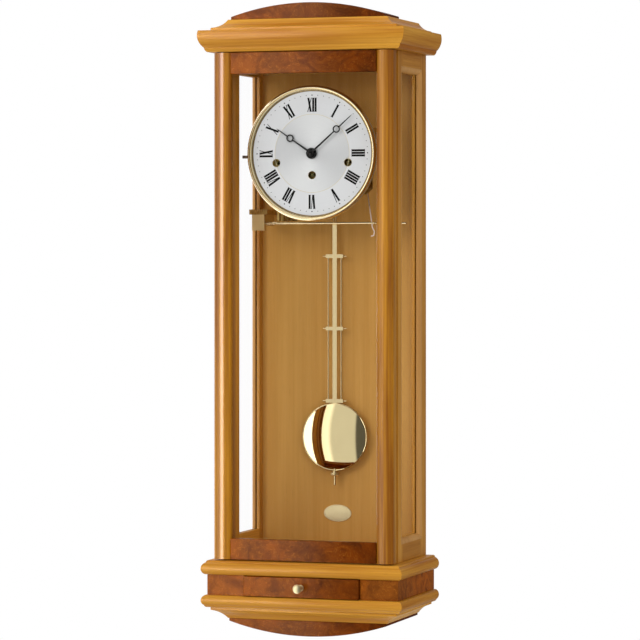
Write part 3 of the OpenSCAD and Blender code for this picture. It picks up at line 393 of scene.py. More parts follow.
def silvered(name, look):
    # spun silver: bands in rings about the hub, with a painted bow-tie sheen in the centre disc: two opposite
    # wedges painted darker, as a brushed dial reflects
    material, tree, shader, spot = startMaterial(name)
    centred = place(tree, spot, (1, 1, 1), (-hub.x, 0, -hub.z))
    parts = addNode(tree, "ShaderNodeSeparateXYZ", {0: centred}).outputs
    radius = mathNode(tree, "SQRT", mathNode(tree, "ADD", mathNode(tree, "MULTIPLY", parts["X"], parts["X"]),
                      mathNode(tree, "MULTIPLY", parts["Z"], parts["Z"])))
    angle = mathNode(tree, "ARCTAN2", parts["Z"], parts["X"])
    rings = addNode(tree, "ShaderNodeCombineXYZ", {0: mathNode(tree, "MULTIPLY", radius, look["rings"]),
                    1: mathNode(tree, "MULTIPLY", angle, 1.2)}).outputs[0]
    lines = noise(tree, rings, 1, 3, 0.6)
    inside = stretch(tree, radius, *look["discEdge"])
    # painted sheen: the bow-tie wedges of the centre disc are mixed towards the darker sheen tone
    turn = mathNode(tree, "COSINE", mathNode(tree, "MULTIPLY_ADD", angle, 2.0, 0.5))
    bow = mathNode(tree, "MULTIPLY_ADD", turn, 0.5, 0.5)
    shade = mathNode(tree, "MULTIPLY", mathNode(tree, "MULTIPLY", bow, inside), look["paintedSheenShare"])
    outer = mixColour(tree, lines, *look["outer"])
    inner = mixColour(tree, lines, *look["inner"])
    colour = mixColour(tree, inside, outer, inner)
    colour = mixColour(tree, shade, colour, look["paintedSheen"])
    tree.links.new(colour, shader.inputs["Base Color"])
    tree.links.new(stretch(tree, lines, 0.3, 0.7, (0.36, 0.5)), shader.inputs["Roughness"])
    shader.inputs["Metallic"].default_value = 0.25
    relief = addNode(tree, "ShaderNodeBump", {"Height": lines, "Strength": 0.05, "Distance": 0.0001})
    tree.links.new(relief.outputs[0], shader.inputs["Normal"])
    return material


def enamel(name, colour, roughness, coat=0.3, specular=0.5):
    material, tree, shader, spot = startMaterial(name)
    grainy = noise(tree, place(tree, spot, (700, 700, 700)), 1, 2)
    tree.links.new(mixColour(tree, mathNode(tree, "MULTIPLY", grainy, 0.12), colour, tone(70, 66, 62)),
                   shader.inputs["Base Color"])
    uneven = stretch(tree, grainy, 0.3, 0.7, (roughness - 0.04, roughness + 0.05))
    tree.links.new(uneven, shader.inputs["Roughness"])
    shader.inputs["Coat Weight"].default_value = coat
    shader.inputs["Specular IOR Level"].default_value = specular
    return material


brass = metal("polishedBrass", tone(226, 205, 156), 0.11, 0.08)
bobBrass = metal("bobBrass", tone(230, 212, 162), 0.045, 0.03, 0.0)
knobBrass = metal("knobBrass", tone(252, 238, 190), 0.55, 0.1)
bezelBrass = metal("bezelBrass", tone(238, 220, 176), 0.2, 0.1)
satinBrass = metal("satinBrass", tone(196, 166, 100), 0.3, 0.18)
castBrass = metal("castBrass", tone(232, 208, 150), 0.42, 0.2, 0.1)
steelGrey = metal("steelGrey", tone(168, 168, 164), 0.28, 0.2)
leverGrey = enamel("leverGrey", tone(122, 106, 90), 0.4)
ringGold = metal("ringGold", tone(206, 194, 158), 0.35, 0.1)
rodBrass = metal("rodBrass", tone(232, 214, 170), 0.25, 0.1)
# dark brown for the ring that paints the shadow line and the bezel wall's reflection at the dial's edge
bezelShadowBrown = metal("bezelShadowBrown", tone(132, 112, 76), 0.4, 0.15)
# the winding arbors are dark olive, painted shade standing in for the shade inside the winding holes
arborShadeOlive = metal("arborShadeOlive", tone(78, 74, 44), 0.3, 0.2)
wirePale = metal("wirePale", tone(222, 202, 186), 0.3, 0.15)
plateBrass = metal("plateBrass", tone(232, 214, 166), 0.3, 0.12)
dialSilver = silvered("dialSilver", silverLook)
handBlack = enamel("handBlack", tone(10, 10, 10), 0.3, 0.05, 0.25)
inkBlack = enamel("inkBlack", tone(8, 8, 8), 0.5, 0.0, 0.08)
doorPane = clearGlass("doorPane", glassLook)
sidePane = clearGlass("sidePane", glassLook)
print("materials ready")


# ---- finishes of the CAD nodes ----
nodeFinishes = {
    "back_panel": wood("veneer", "z", (0.3, 0.1, 0)), "case_boards": wood("inner", "x"),
    "side_stiles": wood("frameWood", "z"), "side_rails": wood("frameWood", "y"),
    "window_mouldings": wood("sideWood", "z", (1, 2, 0)), "door_jambs": wood("inner", "z", (2, 0, 1)),
    "glazing_beads": wood("inner", "z", (5, 0, 1)), "drawer_box": wood("inner", "y", (3, 2, 1)),
    "cap_moulding": wood("honey", "mitred", (0.7, 0, 0)),
    "crown_moulding": wood("honey", "mitred", (0.2, 0, 0)),
    "base_moulding": wood("honey", "mitred", (1.3, 0, 0)),
    "lower_moulding": wood("honey", "mitred", (2.1, 0, 0)),
    "lower_cove": wood("honey", "mitred", (3.3, 0, 0)), "door_columns": wood("column", "z", (4.2, 0, 0)),
    "top_pediment": burl("burlTop", (0.1, 0.3, 0)), "bottom_pediment": burl("burlFoot", (0.7, 0, 0.4)),
    "door_rails": burl("burlRails", (1.3, 0, 0)), "drawer_front": burl("burlDrawer", (3.1, 0.2, 0)),
    "frieze_boards": burl("burlFrieze", (2.2, 0, 0.7), tone(176, 92, 18), tone(148, 82, 26), tone(88, 42, 12),
                          rightShade=0.2),
    "side_glass": sidePane, "door_glass": doorPane, "dial": dialSilver, "silent_lever": leverGrey,
    "minute_hand": handBlack, "hour_hand": handBlack,
}
winders = ("going_winder", "strike_winder", "chime_winder")
metalNodes = [
    (brass, ("bezel", "hand_nut", "badge", "drawer_knob", "pendulum_leader", "pendulum_rods", "bob",
             "rating_nut", "case_hinge_leaves", "door_hinge_leaves")),
    (satinBrass, ("movement_brackets", "front_plate", "back_plate", "plate_pillars", "suspension_cock",
                  "centre_arbor", "minute_wheel", "hour_wheel", "going_barrel", "strike_barrel",
                  "chime_barrel", "escape_wheel", "hammers")),
    (steelGrey, ("hanger_plate", "wood_screws", "catch_magnets", "catch_plates", "hammer_frame", "anchor")),
    (castBrass, ("gong_block",)), (rodBrass, ("chime_rods",)), (wirePale, ("release_wire",)),
    (arborShadeOlive, winders)]
for material, names in metalNodes:
    nodeFinishes.update(dict.fromkeys(names, material))
for name, material in nodeFinishes.items():
    mesh = nodes[name].data
    mesh.materials.clear()
    mesh.materials.append(material)
    for face in mesh.polygons:
        face.material_index = 0
print("nodes finished:", len(nodeFinishes))

# ---- making pieces ----
bodyOf = {name: piece["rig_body"] for name, piece in nodes.items()}


def addPiece(name, mesh, body, material, replaced=()):
    piece = bpy.data.objects.new(name, mesh)
    scene.collection.objects.link(piece)
    mesh.materials.clear()
    mesh.materials.append(material)
    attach(piece, body)
    if replaced:
        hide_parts(*replaced)
    return piece


def meshFrom(shape, name, smoothUnder=None):
    bmesh.ops.recalc_face_normals(shape, faces=shape.faces)
    for face in shape.faces:
        face.smooth = smoothUnder is not None
    if smoothUnder is not None:
        for edge in shape.edges:
            edge.smooth = len(edge.link_faces) == 2 and edge.calc_face_angle(0) < math.radians(smoothUnder)
    mesh = bpy.data.meshes.new(name)
    shape.to_mesh(mesh)
    shape.free()
    return mesh


def gathered(parts):  # several shapes as one
    whole = bmesh.new()
    for part in parts:
        mesh = bpy.data.meshes.new("part")
        part.to_mesh(mesh)
        part.free()
        whole.from_mesh(mesh)
        bpy.data.meshes.remove(mesh)
    return whole


def isMitre(face):  # the 45 degree end faces, which stay sharp and tight
    return abs(abs(face.normal.x) - abs(face.normal.y)) < 0.02 and abs(face.normal.z) < 0.02


def softened(node, width, keepMitres=False, sharper=32):
    # a copy of a node, its arrises eased by width, with smooth curves; edges too short for that stay sharp
    shape, shortest = bmesh.new(), width * 2.5
    shape.from_mesh(nodes[node].data)
    bmesh.ops.remove_doubles(shape, verts=shape.verts, dist=1e-6)
    bmesh.ops.dissolve_limit(shape, angle_limit=math.radians(0.4), verts=shape.verts, edges=shape.edges)
    shape.normal_update()
    arrises = []
    for edge in shape.edges:
        if len(edge.link_faces) != 2 or edge.calc_face_angle(0) < math.radians(sharper):
            continue
        if keepMitres and any(isMitre(face) for face in edge.link_faces):
            continue
        if edge.calc_length() >= shortest:
            arrises.append(edge)
    bmesh.ops.bevel(shape, geom=arrises, offset=width, offset_type="OFFSET", segments=2, profile=0.5,
                    affect="EDGES", clamp_overlap=True, loop_slide=True)
    mesh = meshFrom(shape, node + "Soft", 33)
    helper = bpy.data.objects.new("helper", mesh)
    scene.collection.objects.link(helper)
    weighted = helper.modifiers.new("even", "WEIGHTED_NORMAL")
    weighted.keep_sharp = True
    graph = bpy.context.evaluated_depsgraph_get()
    final = bpy.data.meshes.new_from_object(helper.evaluated_get(graph), depsgraph=graph)
    bpy.data.objects.remove(helper)
    return addPiece(node + "_eased", final, bodyOf[node], nodeFinishes[node], [node])


def turned(profile, centre, steps=96, axis="y"):
    # a lathe: profile gives radius and place along the axis, from one end of the skin to the other
    shape = bmesh.new()
    angles = [2 * math.pi * i / steps for i in range(steps)]
    rings = []
    for radius, along in profile:
        if radius < 1e-7:
            points = [(0, 0, along)]
        else:
            points = [(radius * math.cos(a), radius * math.sin(a), along) for a in angles]
        rings.append([shape.verts.new(p) for p in points])
    closed = len(rings[0]) > 1 and len(rings[-1]) > 1
    pairs = list(zip(rings, rings[1:])) + ([(rings[-1], rings[0])] if closed else [])
    for first, second in pairs:
        for i in range(steps):
            j = (i + 1) % steps
            if len(first) == 1:
                shape.faces.new((first[0], second[i], second[j]))
            elif len(second) == 1:
                shape.faces.new((first[i], first[j], second[0]))
            else:
                shape.faces.new((first[i], first[j], second[j], second[i]))
    turn = {"y": Matrix.Rotation(math.radians(90), 4, "X"), "z": Matrix.Identity(4)}[axis]
    shape.transform(Matrix.Translation(centre) @ turn)
    return shape


def arcPoints(first, last, bulge, count):
    # points on the curve from first to last that stands off its chord by bulge at the middle
    (x0, y0), (x1, y1) = first, last
    dx, dy = x1 - x0, y1 - y0
    length = math.hypot(dx, dy)
    out = []
    for i in range(count + 1):
        t = i / count
        lift = bulge * 4 * t * (1 - t)
        out.append((x0 + dx * t - dy / length * lift, y0 + dy * t + dx / length * lift))
    return out


# ---- eased wood ----
# each node's easing in metres, its slot, and whether its mitres stay sharp
easing = dict(
    top_pediment=(0.0007, "burl", False), bottom_pediment=(0.0007, "burl", False),
    cap_moulding=(0.0007, "oak", True), crown_moulding=(0.0005, "oak", True),
    base_moulding=(0.0005, "oak", True), lower_moulding=(0.0005, "oak", True),
    lower_cove=(0.0006, "oak", True), frieze_boards=(0.0005, "burl", False),
    drawer_front=(0.0009, "burl", False),
    door_columns=(0.0005, "oak", False), door_rails=(0.0009, "burl", False),
    side_stiles=(0.0005, "oak", False), side_rails=(0.0005, "oak", False))
for node, (width, slot, keepMitres) in easing.items():
    softened(node, width, keepMitres)
print("wood eased:", len(easing))


# ---- brass turned work ----
def inMillimetres(profile):
    return [(radius * millimetre, along * millimetre) for radius, along in profile]


bezelLook = dict(inner=85.5, outer=92.2, height=9.0)


def makeBezel(look):
    inner, outer, height = look["inner"], look["outer"], look["height"]
    ring = outer - inner
    profile = [(inner + 1, 2.5), (inner + 1, 0), (outer - 1, 0)]
    profile += arcPoints((outer - 0.3, 0.6), (outer, 2.0), -0.15, 3)
    crest = (inner + ring * 0.62, height - 0.25)
    profile += arcPoints((outer, 2.0), crest, -0.9, 10)[1:]
    profile += arcPoints(crest, (inner + ring * 0.36, height - 0.35), -0.25, 4)[1:]
    profile += [(inner + ring * 0.34, height - 3.4), (inner + ring * 0.2, height - 3.6),
                (inner + ring * 0.17, height - 2.2), (inner + 0.35, 4.4)]
    profile += arcPoints((inner + 0.3, 4.1), (inner, 3.5), 0.12, 3) + [(inner, 2.5)]
    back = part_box("bezel")[1].y
    shape = turned(inMillimetres(profile), Vector((hub.x, back, hub.z)), 160)
    addPiece("bezel_ring", meshFrom(shape, "bezelRing", 38), "case", bezelBrass, ["bezel"])


makeBezel(bezelLook)

bobLook = dict(radius=47.0, thick=19.0, bead=1.1)


def makeBob(look):
    radius, thick, bead = look["radius"], look["thick"], look["bead"]
    half = thick / 2
    flank = radius - bead * 1.6
    front = [(flank * i / 40, half - (half - 0.9) * (i / 40) ** 2) for i in range(1, 41)]
    neck = radius - bead * 1.5
    angles = [math.radians(degrees) for degrees in range(80, -81, -20)]
    rim = [(radius - bead + bead * math.cos(a), bead * math.sin(a)) for a in angles]
    rim = [(neck, 0.75)] + rim + [(neck, -0.75)]
    back = [(r, -z) for r, z in reversed(front)]
    profile = [(0, half)] + front + rim + back + [(0, -half)]
    shape = turned(inMillimetres(profile), middleOf("bob"), 144)
    addPiece("bob_lens", meshFrom(shape, "bobLens", 30), "pendulum", bobBrass, ["bob"])


makeBob(bobLook)

knobLook = dict(radius=6.2, length=19.0)


def makeKnob(look):
    radius, length = look["radius"], look["length"]
    neck, shoulder = radius * 0.42, length * 0.58
    profile = [(0, 0), (radius * 0.7, 0)] + arcPoints((radius * 0.7, 0.7), (radius * 0.6, 1.2), 0.06, 3)
    profile += arcPoints((radius * 0.52, 1.4), (neck, shoulder - 1.2), 0.5, 8)
    profile += arcPoints((neck + 0.15, shoulder - 0.7), (radius * 0.8, shoulder + 0.1), 0.2, 3)
    crown = (radius * 0.55, length - 0.7)
    profile += arcPoints((radius * 0.82, shoulder + 0.3), crown, -radius * 0.3, 12)[1:]
    profile += arcPoints((radius * 0.52, length - 0.6), (0, length), -0.35, 6)
    profile = [(r, min(along, length)) for r, along in profile[:-1]] + [(0, length)]
    centre = Vector((0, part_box("drawer_knob")[1].y, middleOf("drawer_knob").z))
    mesh = meshFrom(turned(inMillimetres(profile), centre, 64), "knobTurned", 40)
    addPiece("knob_turned", mesh, "drawer", knobBrass, ["drawer_knob"])


makeKnob(knobLook)
print("bezel, bob and knob turned")


# ---- dial printing ----
dialLook = dict(foot=56.2, head=75.2, stroke=2.75, gap=0.72, thin=0.95, serif=0.45, serifTall=0.22,
                raised=0.1, strokeStep=0.012, ringRadius=53.0, ringWidth=0.45, dotRadius=78.8, dot=0.56,
                fifthDot=0.88)
numerals = ["XII", "I", "II", "III", "IIII", "V", "VI", "VII", "VIII", "IX", "X", "XI"]
letterWidths = dict(I=2.75, V=6.0, X=6.2)


def strokesOf(word, look):
    # slanted bars, each given by its foot and head centre and its width, all in millimetres
    widths = [letterWidths[letter] for letter in word]
    total = sum(widths) + look["gap"] * (len(word) - 1)
    left = -total / 2
    bars = []
    for letter, width in zip(word, widths):
        right, thick, thin = left + width, look["stroke"], look["thin"]
        if letter == "I":
            bars.append((left + thick / 2, left + thick / 2, thick))
        elif letter == "V":
            middle = left + width * 0.56
            bars.append((middle - thin / 2, left + thick / 2, thick))
            bars.append((middle + thin / 2, right - thin / 2, thin))
        else:
            bars.append((right - thick / 2, left + thick / 2, thick))
            bars.append((left + thin / 2, right - thin / 2, thin))
        left = right + look["gap"]
    return bars


def addBar(shape, corners, low, high):
    bottom = [shape.verts.new((x, low, z)) for x, z in corners]
    top = [shape.verts.new((x, high, z)) for x, z in corners]
    shape.faces.new(bottom)
    shape.faces.new(list(reversed(top)))
    for i in range(len(corners)):
        j = (i + 1) % len(corners)
        shape.faces.new((bottom[j], bottom[i], top[i], top[j]))


def onDial(hour, spots):
    # spots give the way out from the hub and the way round from the hour's line, in millimetres
    angle = math.radians(hour * 30)
    outward = Vector((math.sin(angle), math.cos(angle)))
    clockwise = Vector((math.cos(angle), -math.sin(angle)))
    placed = [(outward * along + clockwise * across) * millimetre for along, across in spots]
    return [(hub.x + spot.x, hub.z + spot.y) for spot in placed]


def makeNumerals(look):
    # strokes that cross lie at slightly different heights, and each has a short serif at both ends
    shape, low, high, tall = bmesh.new(), look["foot"], look["head"], look["serifTall"]
    for hour, word in enumerate(numerals):
        for order, (foot, head, width) in enumerate(strokesOf(word, look)):
            raised, half = (look["raised"] - look["strokeStep"] * order) * millimetre, width / 2
            bar = [(low, foot - half), (high, head - half), (high, head + half), (low, foot + half)]
            addBar(shape, onDial(hour, bar), dialFace - raised, dialFace)
            reach = half + look["serif"]
            for along, middle in ((low + tall, foot), (high - tall, head)):
                serif = [(along - tall, middle - reach), (along + tall, middle - reach),
                         (along + tall, middle + reach), (along - tall, middle + reach)]
                addBar(shape, onDial(hour, serif), dialFace - raised * (0.85 - 0.05 * order), dialFace)
    addPiece("dial_numerals", meshFrom(shape, "dialNumerals"), "case", inkBlack)


makeNumerals(dialLook)


def makeDialRing(look):
    inner, outer = look["ringRadius"] - look["ringWidth"] / 2, look["ringRadius"] + look["ringWidth"] / 2
    profile = inMillimetres([(inner, 0), (outer, 0), (outer, 0.06), (inner, 0.06)])
    shape = turned(profile, Vector((hub.x, dialFace, hub.z)), 128)
    addPiece("dial_ring_line", meshFrom(shape, "dialRingLine"), "case", ringGold)


makeDialRing(dialLook)

# a dark brown ring on the dial at the bezel's foot: a painted shadow line and a painted reflection of the
# bezel's inner wall
bezelShadowLook = dict(inner=84.1, outer=85.4, height=0.5)


def makeBezelShadow(look):
    inner, outer, height = look["inner"], look["outer"], look["height"]
    profile = [(inner, 0), (inner, height * 0.7), (inner + 0.2, height), (outer, height), (outer, 0)]
    shape = turned(inMillimetres(profile), Vector((hub.x, dialFace, hub.z)), 160)
    addPiece("dial_edge_shadow", meshFrom(shape, "dialEdgeShadow", 30), "case", bezelShadowBrown)


makeBezelShadow(bezelShadowLook)


# Geometry Nodes: one small shape placed round a circle
def roundTree(name, buildShape):
    tree = bpy.data.node_groups.new(name, "GeometryNodeTree")
    for label, kind in (("Count", "Int"), ("Radius", "Float"), ("Size", "Float"), ("Larger", "Float"),
                        ("Every", "Int"), ("Centre", "Vector"), ("Turn", "Vector"), ("Finish", "Material")):
        tree.interface.new_socket(label, in_out="INPUT", socket_type="NodeSocket" + kind)
    tree.interface.new_socket("Geometry", in_out="OUTPUT", socket_type="NodeSocketGeometry")
    source = tree.nodes.new("NodeGroupInput").outputs
    size = {"Vertices": source["Count"], "Radius": source["Radius"]}
    circle = addNode(tree, "GeometryNodeMeshCircle", size)
    index = addNode(tree, "GeometryNodeInputIndex").outputs[0]
    rest = mathNode(tree, "MODULO", index, source["Every"])
    isLarge = mathNode(tree, "LESS_THAN", rest, 0.5)
    extra = mathNode(tree, "SUBTRACT", source["Larger"], source["Size"])
    scale = mathNode(tree, "MULTIPLY_ADD", isLarge, extra, source["Size"])
    angle = mathNode(tree, "DIVIDE", mathNode(tree, "MULTIPLY", index, 2 * math.pi), source["Count"])
    spin = addNode(tree, "ShaderNodeCombineXYZ", {2: angle}).outputs[0]
    spread = addNode(tree, "GeometryNodeInstanceOnPoints", {"Points": circle.outputs[0],
                     "Instance": buildShape(tree), "Rotation": spin, "Scale": scale})
    placed = addNode(tree, "GeometryNodeTransform", {"Geometry": spread.outputs[0],
                     "Translation": source["Centre"], "Rotation": source["Turn"]})
    real = addNode(tree, "GeometryNodeRealizeInstances", {"Geometry": placed.outputs[0]})
    finished = addNode(tree, "GeometryNodeSetMaterial", {"Geometry": real.outputs[0],
                       "Material": source["Finish"]})
    end = tree.nodes.new("NodeGroupOutput")
    tree.links.new(finished.outputs[0], end.inputs[0])
    return tree


def grown(name, tree, values):
    holder = bpy.data.objects.new(name + "Holder", bpy.data.meshes.new(name + "Start"))
    scene.collection.objects.link(holder)
    modifier = holder.modifiers.new("grow", "NODES")
    modifier.node_group = tree
    for item in tree.interface.items_tree:
        if item.item_type == "SOCKET" and item.in_out == "INPUT":
            modifier[item.identifier] = values[item.name]
    graph = bpy.context.evaluated_depsgraph_get()
    mesh = bpy.data.meshes.new_from_object(holder.evaluated_get(graph), depsgraph=graph)
    holder.modifiers.clear()
    bpy.data.objects.remove(holder)
    mesh.name = name
    return mesh


# both small shapes are in multiples of their size
def dotShape(tree):
    sizes = {"Vertices": 16, "Radius": 1.0, "Depth": 0.12}
    return addNode(tree, "GeometryNodeMeshCylinder", sizes).outputs["Mesh"]


dotTree = roundTree("minuteDots", dotShape)
dotMesh = grown("minuteDots", dotTree, {"Count": 60, "Radius": dialLook["dotRadius"] * millimetre,
                "Size": dialLook["dot"] * millimetre, "Larger": dialLook["fifthDot"] * millimetre, "Every": 5,
                "Centre": (hub.x, dialFace, hub.z), "Turn": (math.radians(90), 0, 0), "Finish": inkBlack})
addPiece("dial_minute_dots", dotMesh, "case", inkBlack)


def knurlShape(tree):
    return addNode(tree, "GeometryNodeMeshCube", {"Size": (1.0, 0.75, 4.4)}).outputs["Mesh"]


nutLook = dict(radius=5.4, hole=1.65, low=1.2, high=3.5, neck=2.7, knurlRadius=5.35, ridge=0.5, count=36)


def makeNut(look):
    # a disc with a narrower neck, and knurling round the disc
    below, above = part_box("rating_nut")
    centre = middleOf("rating_nut")
    tall, radius, neck, hole = (above.z - below.z) / millimetre, look["radius"], look["neck"], look["hole"]
    low, high = look["low"], look["high"]
    profile = [(hole, 0), (radius - 2, 0), (radius - 0.3, low - 0.2), (radius, low), (radius, high),
               (radius - 0.3, high + 0.3), (neck, high + 0.4), (neck, tall - 0.3), (neck - 0.3, tall),
               (hole, tall)]
    shape = turned(inMillimetres(profile), Vector((centre.x, centre.y, below.z)), 64, "z")
    mesh = meshFrom(shape, "nutTurned", 30)
    addPiece("nut_turned", mesh, "rating_nut", plateBrass, ["rating_nut"])
    ridge = look["ridge"] * millimetre
    knurl = grown("nutKnurl", roundTree("nutKnurl", knurlShape), {
        "Count": look["count"], "Radius": look["knurlRadius"] * millimetre, "Size": ridge, "Larger": ridge,
        "Every": 1, "Centre": (centre.x, centre.y, below.z + (low + high) / 2 * millimetre),
        "Turn": (0, 0, 0), "Finish": plateBrass})
    addPiece("nut_knurling", knurl, "rating_nut", plateBrass)


makeNut(nutLook)
print("dial printed, dots and knurling grown")


# ---- bushes, hands and oval plate ----
bushLook = dict(outer=5.7, inner=5.25, proud=0.25, deep=0.9)


def makeBushes(look):
    outer, inner, proud, deep = look["outer"], look["inner"], look["proud"], look["deep"]
    profile = inMillimetres([(inner, -deep), (outer - 0.3, -deep), (outer - 0.3, 0), (outer, 0),
                             (outer, proud * 0.6), (outer - 0.25, proud), (inner + 0.2, proud),
                             (inner, proud * 0.5)])
    middles = [middleOf(winder) for winder in winders]
    shape = gathered(turned(profile, Vector((middle.x, dialFace, middle.z)), 48) for middle in middles)
    addPiece("winding_bushes", meshFrom(shape, "windingBushes", 30), "case", ringGold)


makeBushes(bushLook)

screwLook = dict(radius=2.2, dimple=0.9, proud=0.2, deep=0.6, fromEdge=5.0, leafHigh=50.0, leafFace=0.3,
                 heights=(8.0, 25.0, 42.0))


def makeLeafScrews(look):
    # three countersunk heads on each leaf, on the faces that meet when the door is shut
    low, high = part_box("door_hinge_leaves")
    across = high.x - look["fromEdge"] * millimetre
    pinY = (low.y + high.y) / 2
    radius, dimple, proud, deep = look["radius"], look["dimple"], look["proud"], look["deep"]
    outline = [(0, -deep), (radius, -deep), (radius, proud * 0.4), (radius - 0.3, proud), (dimple, proud),
               (dimple * 0.6, -0.1), (0, -0.1)]
    feet = (low.z, high.z - look["leafHigh"] * millimetre)
    places = [foot + height * millimetre for foot in feet for height in look["heights"]]
    for body, side in (("case", 1), ("door", -1)):
        profile = inMillimetres([(r, along * side) for r, along in outline])
        face = pinY + side * look["leafFace"] * millimetre
        shape = gathered(turned(profile, Vector((across, face, z)), 28) for z in places)
        mesh = meshFrom(shape, body + "LeafScrews", 30)
        addPiece(body + "_leaf_screws", mesh, body, satinBrass)


makeLeafScrews(screwLook)

handEasing = 0.28 * millimetre
for node in ("hour_hand", "minute_hand"):
    softened(node, handEasing, sharper=40)

bossLook = dict(radius=4.38, hole=3.05, dome=3.0)


def makeBoss(look):
    # stepped black boss on the minute hand, with the nut's dome in its middle
    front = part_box("minute_hand")[0].y
    radius, hole, dome = look["radius"], look["hole"], look["dome"]
    profile = inMillimetres([(hole, 0), (radius, 0), (radius, 0.35), (radius - 0.25, 0.6),
                             (radius - 0.9, 0.65), (radius - 1.0, 0.8), (hole, 0.85)])
    shape = turned(profile, Vector((hub.x, front, hub.z)), 64)
    addPiece("hand_boss_ring", meshFrom(shape, "handBossRing", 30), "minute", handBlack)
    nutFront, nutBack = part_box("hand_nut")[0].y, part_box("hand_nut")[1].y
    high = (nutBack - nutFront) / millimetre
    profile = [(0, 0), (dome, 0)] + arcPoints((dome, high * 0.55), (0, high), -0.42, 10)
    profile[-1] = (0, high)
    mesh = meshFrom(turned(inMillimetres(profile), Vector((hub.x, nutBack, hub.z)), 48), "handNutDome", 40)
    addPiece("hand_nut_dome", mesh, "minute", handBlack, ["hand_nut"])


makeBoss(bossLook)

plateLook = dict(rim=1.3, raised=0.8, steps=96)


def makeOvalPlate(look):
    # a raised rim round a slightly crowned oval
    low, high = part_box("badge")
    halfWide, halfTall = (high.x - low.x) / 2, (high.z - low.z) / 2
    middle = middleOf("badge")
    rim, raised, steps = look["rim"] * millimetre, look["raised"] * millimetre, look["steps"]
    profile = [(0, 0.0), (0, raised * 0.75), (0.25 * rim, raised), (0.75 * rim, raised), (rim, raised * 0.62),
               (rim * 2.4, raised * 0.7)]
    angles = [2 * math.pi * i / steps for i in range(steps)]
    shape = bmesh.new()
    rings = []
    for inset, height in profile:
        rings.append([shape.verts.new((middle.x + (halfWide - inset) * math.cos(a), high.y - height,
                                       middle.z + (halfTall - inset) * math.sin(a))) for a in angles])
    for first, second in zip(rings, rings[1:]):
        for i in range(steps):
            j = (i + 1) % steps
            shape.faces.new((first[i], first[j], second[j], second[i]))
    shape.faces.new(rings[0])
    shape.faces.new(rings[-1])
    addPiece("oval_plate", meshFrom(shape, "ovalPlate", 30), "case", plateBrass, ["badge"])


makeOvalPlate(plateLook)
print("bushes, hands and plate made")

# ---- studio ----
# bands of the room that metal and lacquer mirror: how bright, where, half width and soft edge, in radians
studio = dict(floorZ=-1.75, floorSize=10.0, floorTone=(0.86, 0.86, 0.85, 1), floorGlow=0.3, ambient=0.56,
              room=0.55, front=(0.3, -0.1, 0.25, 0.25), box=(1.0, -0.57, 0.1, 0.14),
              window=(2.2, -0.98, 0.15, 0.05), wall=(2.3, -2.15, 0.3, 0.2), right=(0.13, 1.68, 1.44, 0.06),
              lampsAim=(0, -0.1, -0.3))
white = (1, 1, 1)
lamps = [dict(name="keyLamp", place=(-1.2, -3.0, 0.9), size=(1.6, 1.6), power=30, colour=(1, 0.99, 0.97)),
         dict(name="stripLamp", place=(-0.235, -0.5, -0.3), size=(0.28, 1.5), power=2.8, colour=white,
              spread=56, heading=10),
         dict(name="sideLamp", place=(-2.1, 0.3, -0.1), size=(1.6, 1.6), power=16, colour=white),
         dict(name="fillLamp", place=(2.4, -2.6, 0.4), size=(2.0, 2.0), power=24, colour=white),
         dict(name="topLamp", place=(0.0, -0.8, 2.3), size=(1.6, 1.6), power=16, colour=white)]


def smoothBand(tree, value, middle, half, soft):
    # 1 within half of the middle, falling to 0 over soft
    away = mathNode(tree, "ABSOLUTE", mathNode(tree, "SUBTRACT", value, middle))
    edges = {0: away, 1: half + soft, 2: half}
    return addNode(tree, "ShaderNodeMapRange", edges, interpolation_type="SMOOTHSTEP").outputs[0]


def makeWorld(look):
    # rays that metal and lacquer reflect see a white wall at the left, a paler front and a dark right side
    world = bpy.data.worlds.new("studioWorld")
    scene.world = world
    world.use_nodes = True
    tree = world.node_tree
    tree.nodes.clear()
    path = addNode(tree, "ShaderNodeLightPath").outputs
    reflected = mathNode(tree, "GREATER_THAN", path["Glossy Depth"], 0.5)  # also a reflection seen in glass
    direct = mathNode(tree, "SUBTRACT", path["Is Transmission Ray"], reflected)
    seen = mathNode(tree, "MAXIMUM", path["Is Camera Ray"], direct, clamp=True)
    throughGlass = mathNode(tree, "MULTIPLY", path["Is Transmission Ray"], reflected)
    mirroredRay = mathNode(tree, "MAXIMUM", path["Is Glossy Ray"], throughGlass)
    ambient = addNode(tree, "ShaderNodeBackground", {0: (1, 1, 1, 1), 1: look["ambient"]})
    direction = addNode(tree, "ShaderNodeTexCoord").outputs["Generated"]
    parts = addNode(tree, "ShaderNodeSeparateXYZ", {0: direction}).outputs
    around = mathNode(tree, "ARCTAN2", parts["X"], mathNode(tree, "MULTIPLY", parts["Y"], -1.0))
    level = look["room"]
    for band in ("front", "box", "window", "wall"):
        bright, *where = look[band]
        level = mathNode(tree, "MULTIPLY_ADD", smoothBand(tree, around, *where), bright, level)
    dark, *where = look["right"]
    darkSide = smoothBand(tree, around, *where)
    drop = mathNode(tree, "MULTIPLY", darkSide, mathNode(tree, "SUBTRACT", dark, level))
    mirrored = addNode(tree, "ShaderNodeBackground", {0: (1, 1, 1, 1), 1: mathNode(tree, "ADD", level, drop)})
    backdrop = addNode(tree, "ShaderNodeBackground", {0: (1, 1, 1, 1), 1: 1.0})
    inMetal = addNode(tree, "ShaderNodeMixShader", {0: mirroredRay})
    tree.links.new(ambient.outputs[0], inMetal.inputs[1])
    tree.links.new(mirrored.outputs[0], inMetal.inputs[2])
    final = addNode(tree, "ShaderNodeMixShader", {0: seen})
    tree.links.new(inMetal.outputs[0], final.inputs[1])
    tree.links.new(backdrop.outputs[0], final.inputs[2])
    output = tree.nodes.new("ShaderNodeOutputWorld")
    tree.links.new(final.outputs[0], output.inputs[0])


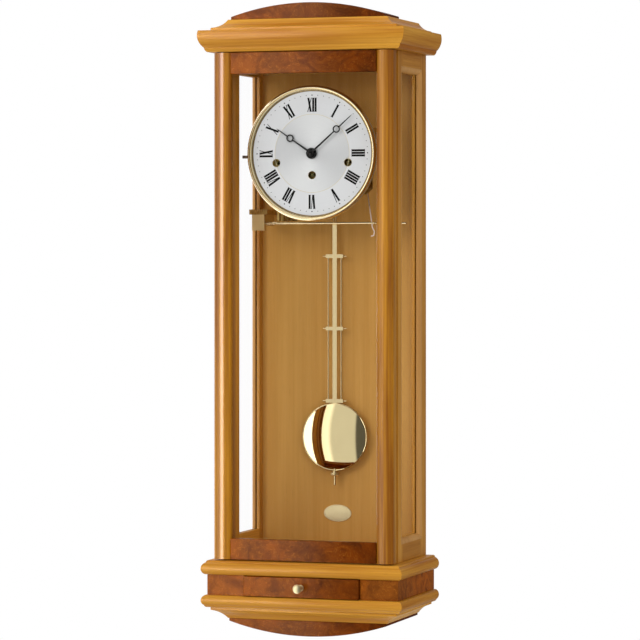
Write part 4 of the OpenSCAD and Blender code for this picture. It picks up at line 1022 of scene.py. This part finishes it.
def makeFloor(look):
    # a white floor that reflections look through
    half, floorZ = look["floorSize"] / 2, look["floorZ"]
    floorMesh = bpy.data.meshes.new("floor")
    corners = [(-half, -half, floorZ), (half, -half, floorZ), (half, half, floorZ), (-half, half, floorZ)]
    floorMesh.from_pydata(corners, [], [(0, 1, 2, 3)])
    floor = bpy.data.objects.new("floor", floorMesh)
    scene.collection.objects.link(floor)
    material, tree, shader, spot = startMaterial("paleFloor")
    shader.inputs["Base Color"].default_value = look["floorTone"]
    shader.inputs["Roughness"].default_value = 0.8
    path = addNode(tree, "ShaderNodeLightPath").outputs
    shader.inputs["Emission Color"].default_value = (1, 1, 1, 1)
    seen = mathNode(tree, "MAXIMUM", path["Is Camera Ray"], path["Is Transmission Ray"])
    tree.links.new(mathNode(tree, "MULTIPLY", seen, look["floorGlow"]), shader.inputs["Emission Strength"])
    letThrough(tree, shader, mathNode(tree, "GREATER_THAN", path["Glossy Depth"], 0.5), (1, 1, 1, 1))
    floorMesh.materials.append(material)


def makeLamps(look):
    # a lamp with a spread is a gridded box before the left column, for the lacquered wood to mirror
    for lamp in lamps:
        data = bpy.data.lights.new(lamp["name"], "AREA")
        data.shape = "RECTANGLE"
        data.size, data.size_y = lamp["size"]
        data.energy, data.color = lamp["power"], lamp["colour"]
        light = bpy.data.objects.new(lamp["name"], data)
        light.location = lamp["place"]
        aim = Vector(look["lampsAim"]) - light.location
        light.rotation_euler = aim.to_track_quat("-Z", "Y").to_euler()
        if "spread" in lamp:
            data.spread = math.radians(lamp["spread"])
            light.rotation_euler = (math.radians(90), 0, math.radians(-lamp["heading"]))
            lacquered = bpy.data.collections.new("lacquered")
            for node in easing:
                lacquered.objects.link(bpy.data.objects[node + "_eased"])
            light.light_linking.receiver_collection = lacquered
        light.visible_camera = light.visible_transmission = False
        light.visible_glossy = "spread" in lamp
        light.visible_diffuse = not light.visible_glossy
        scene.collection.objects.link(light)


makeWorld(studio)
makeFloor(studio)
makeLamps(studio)
print("studio ready")
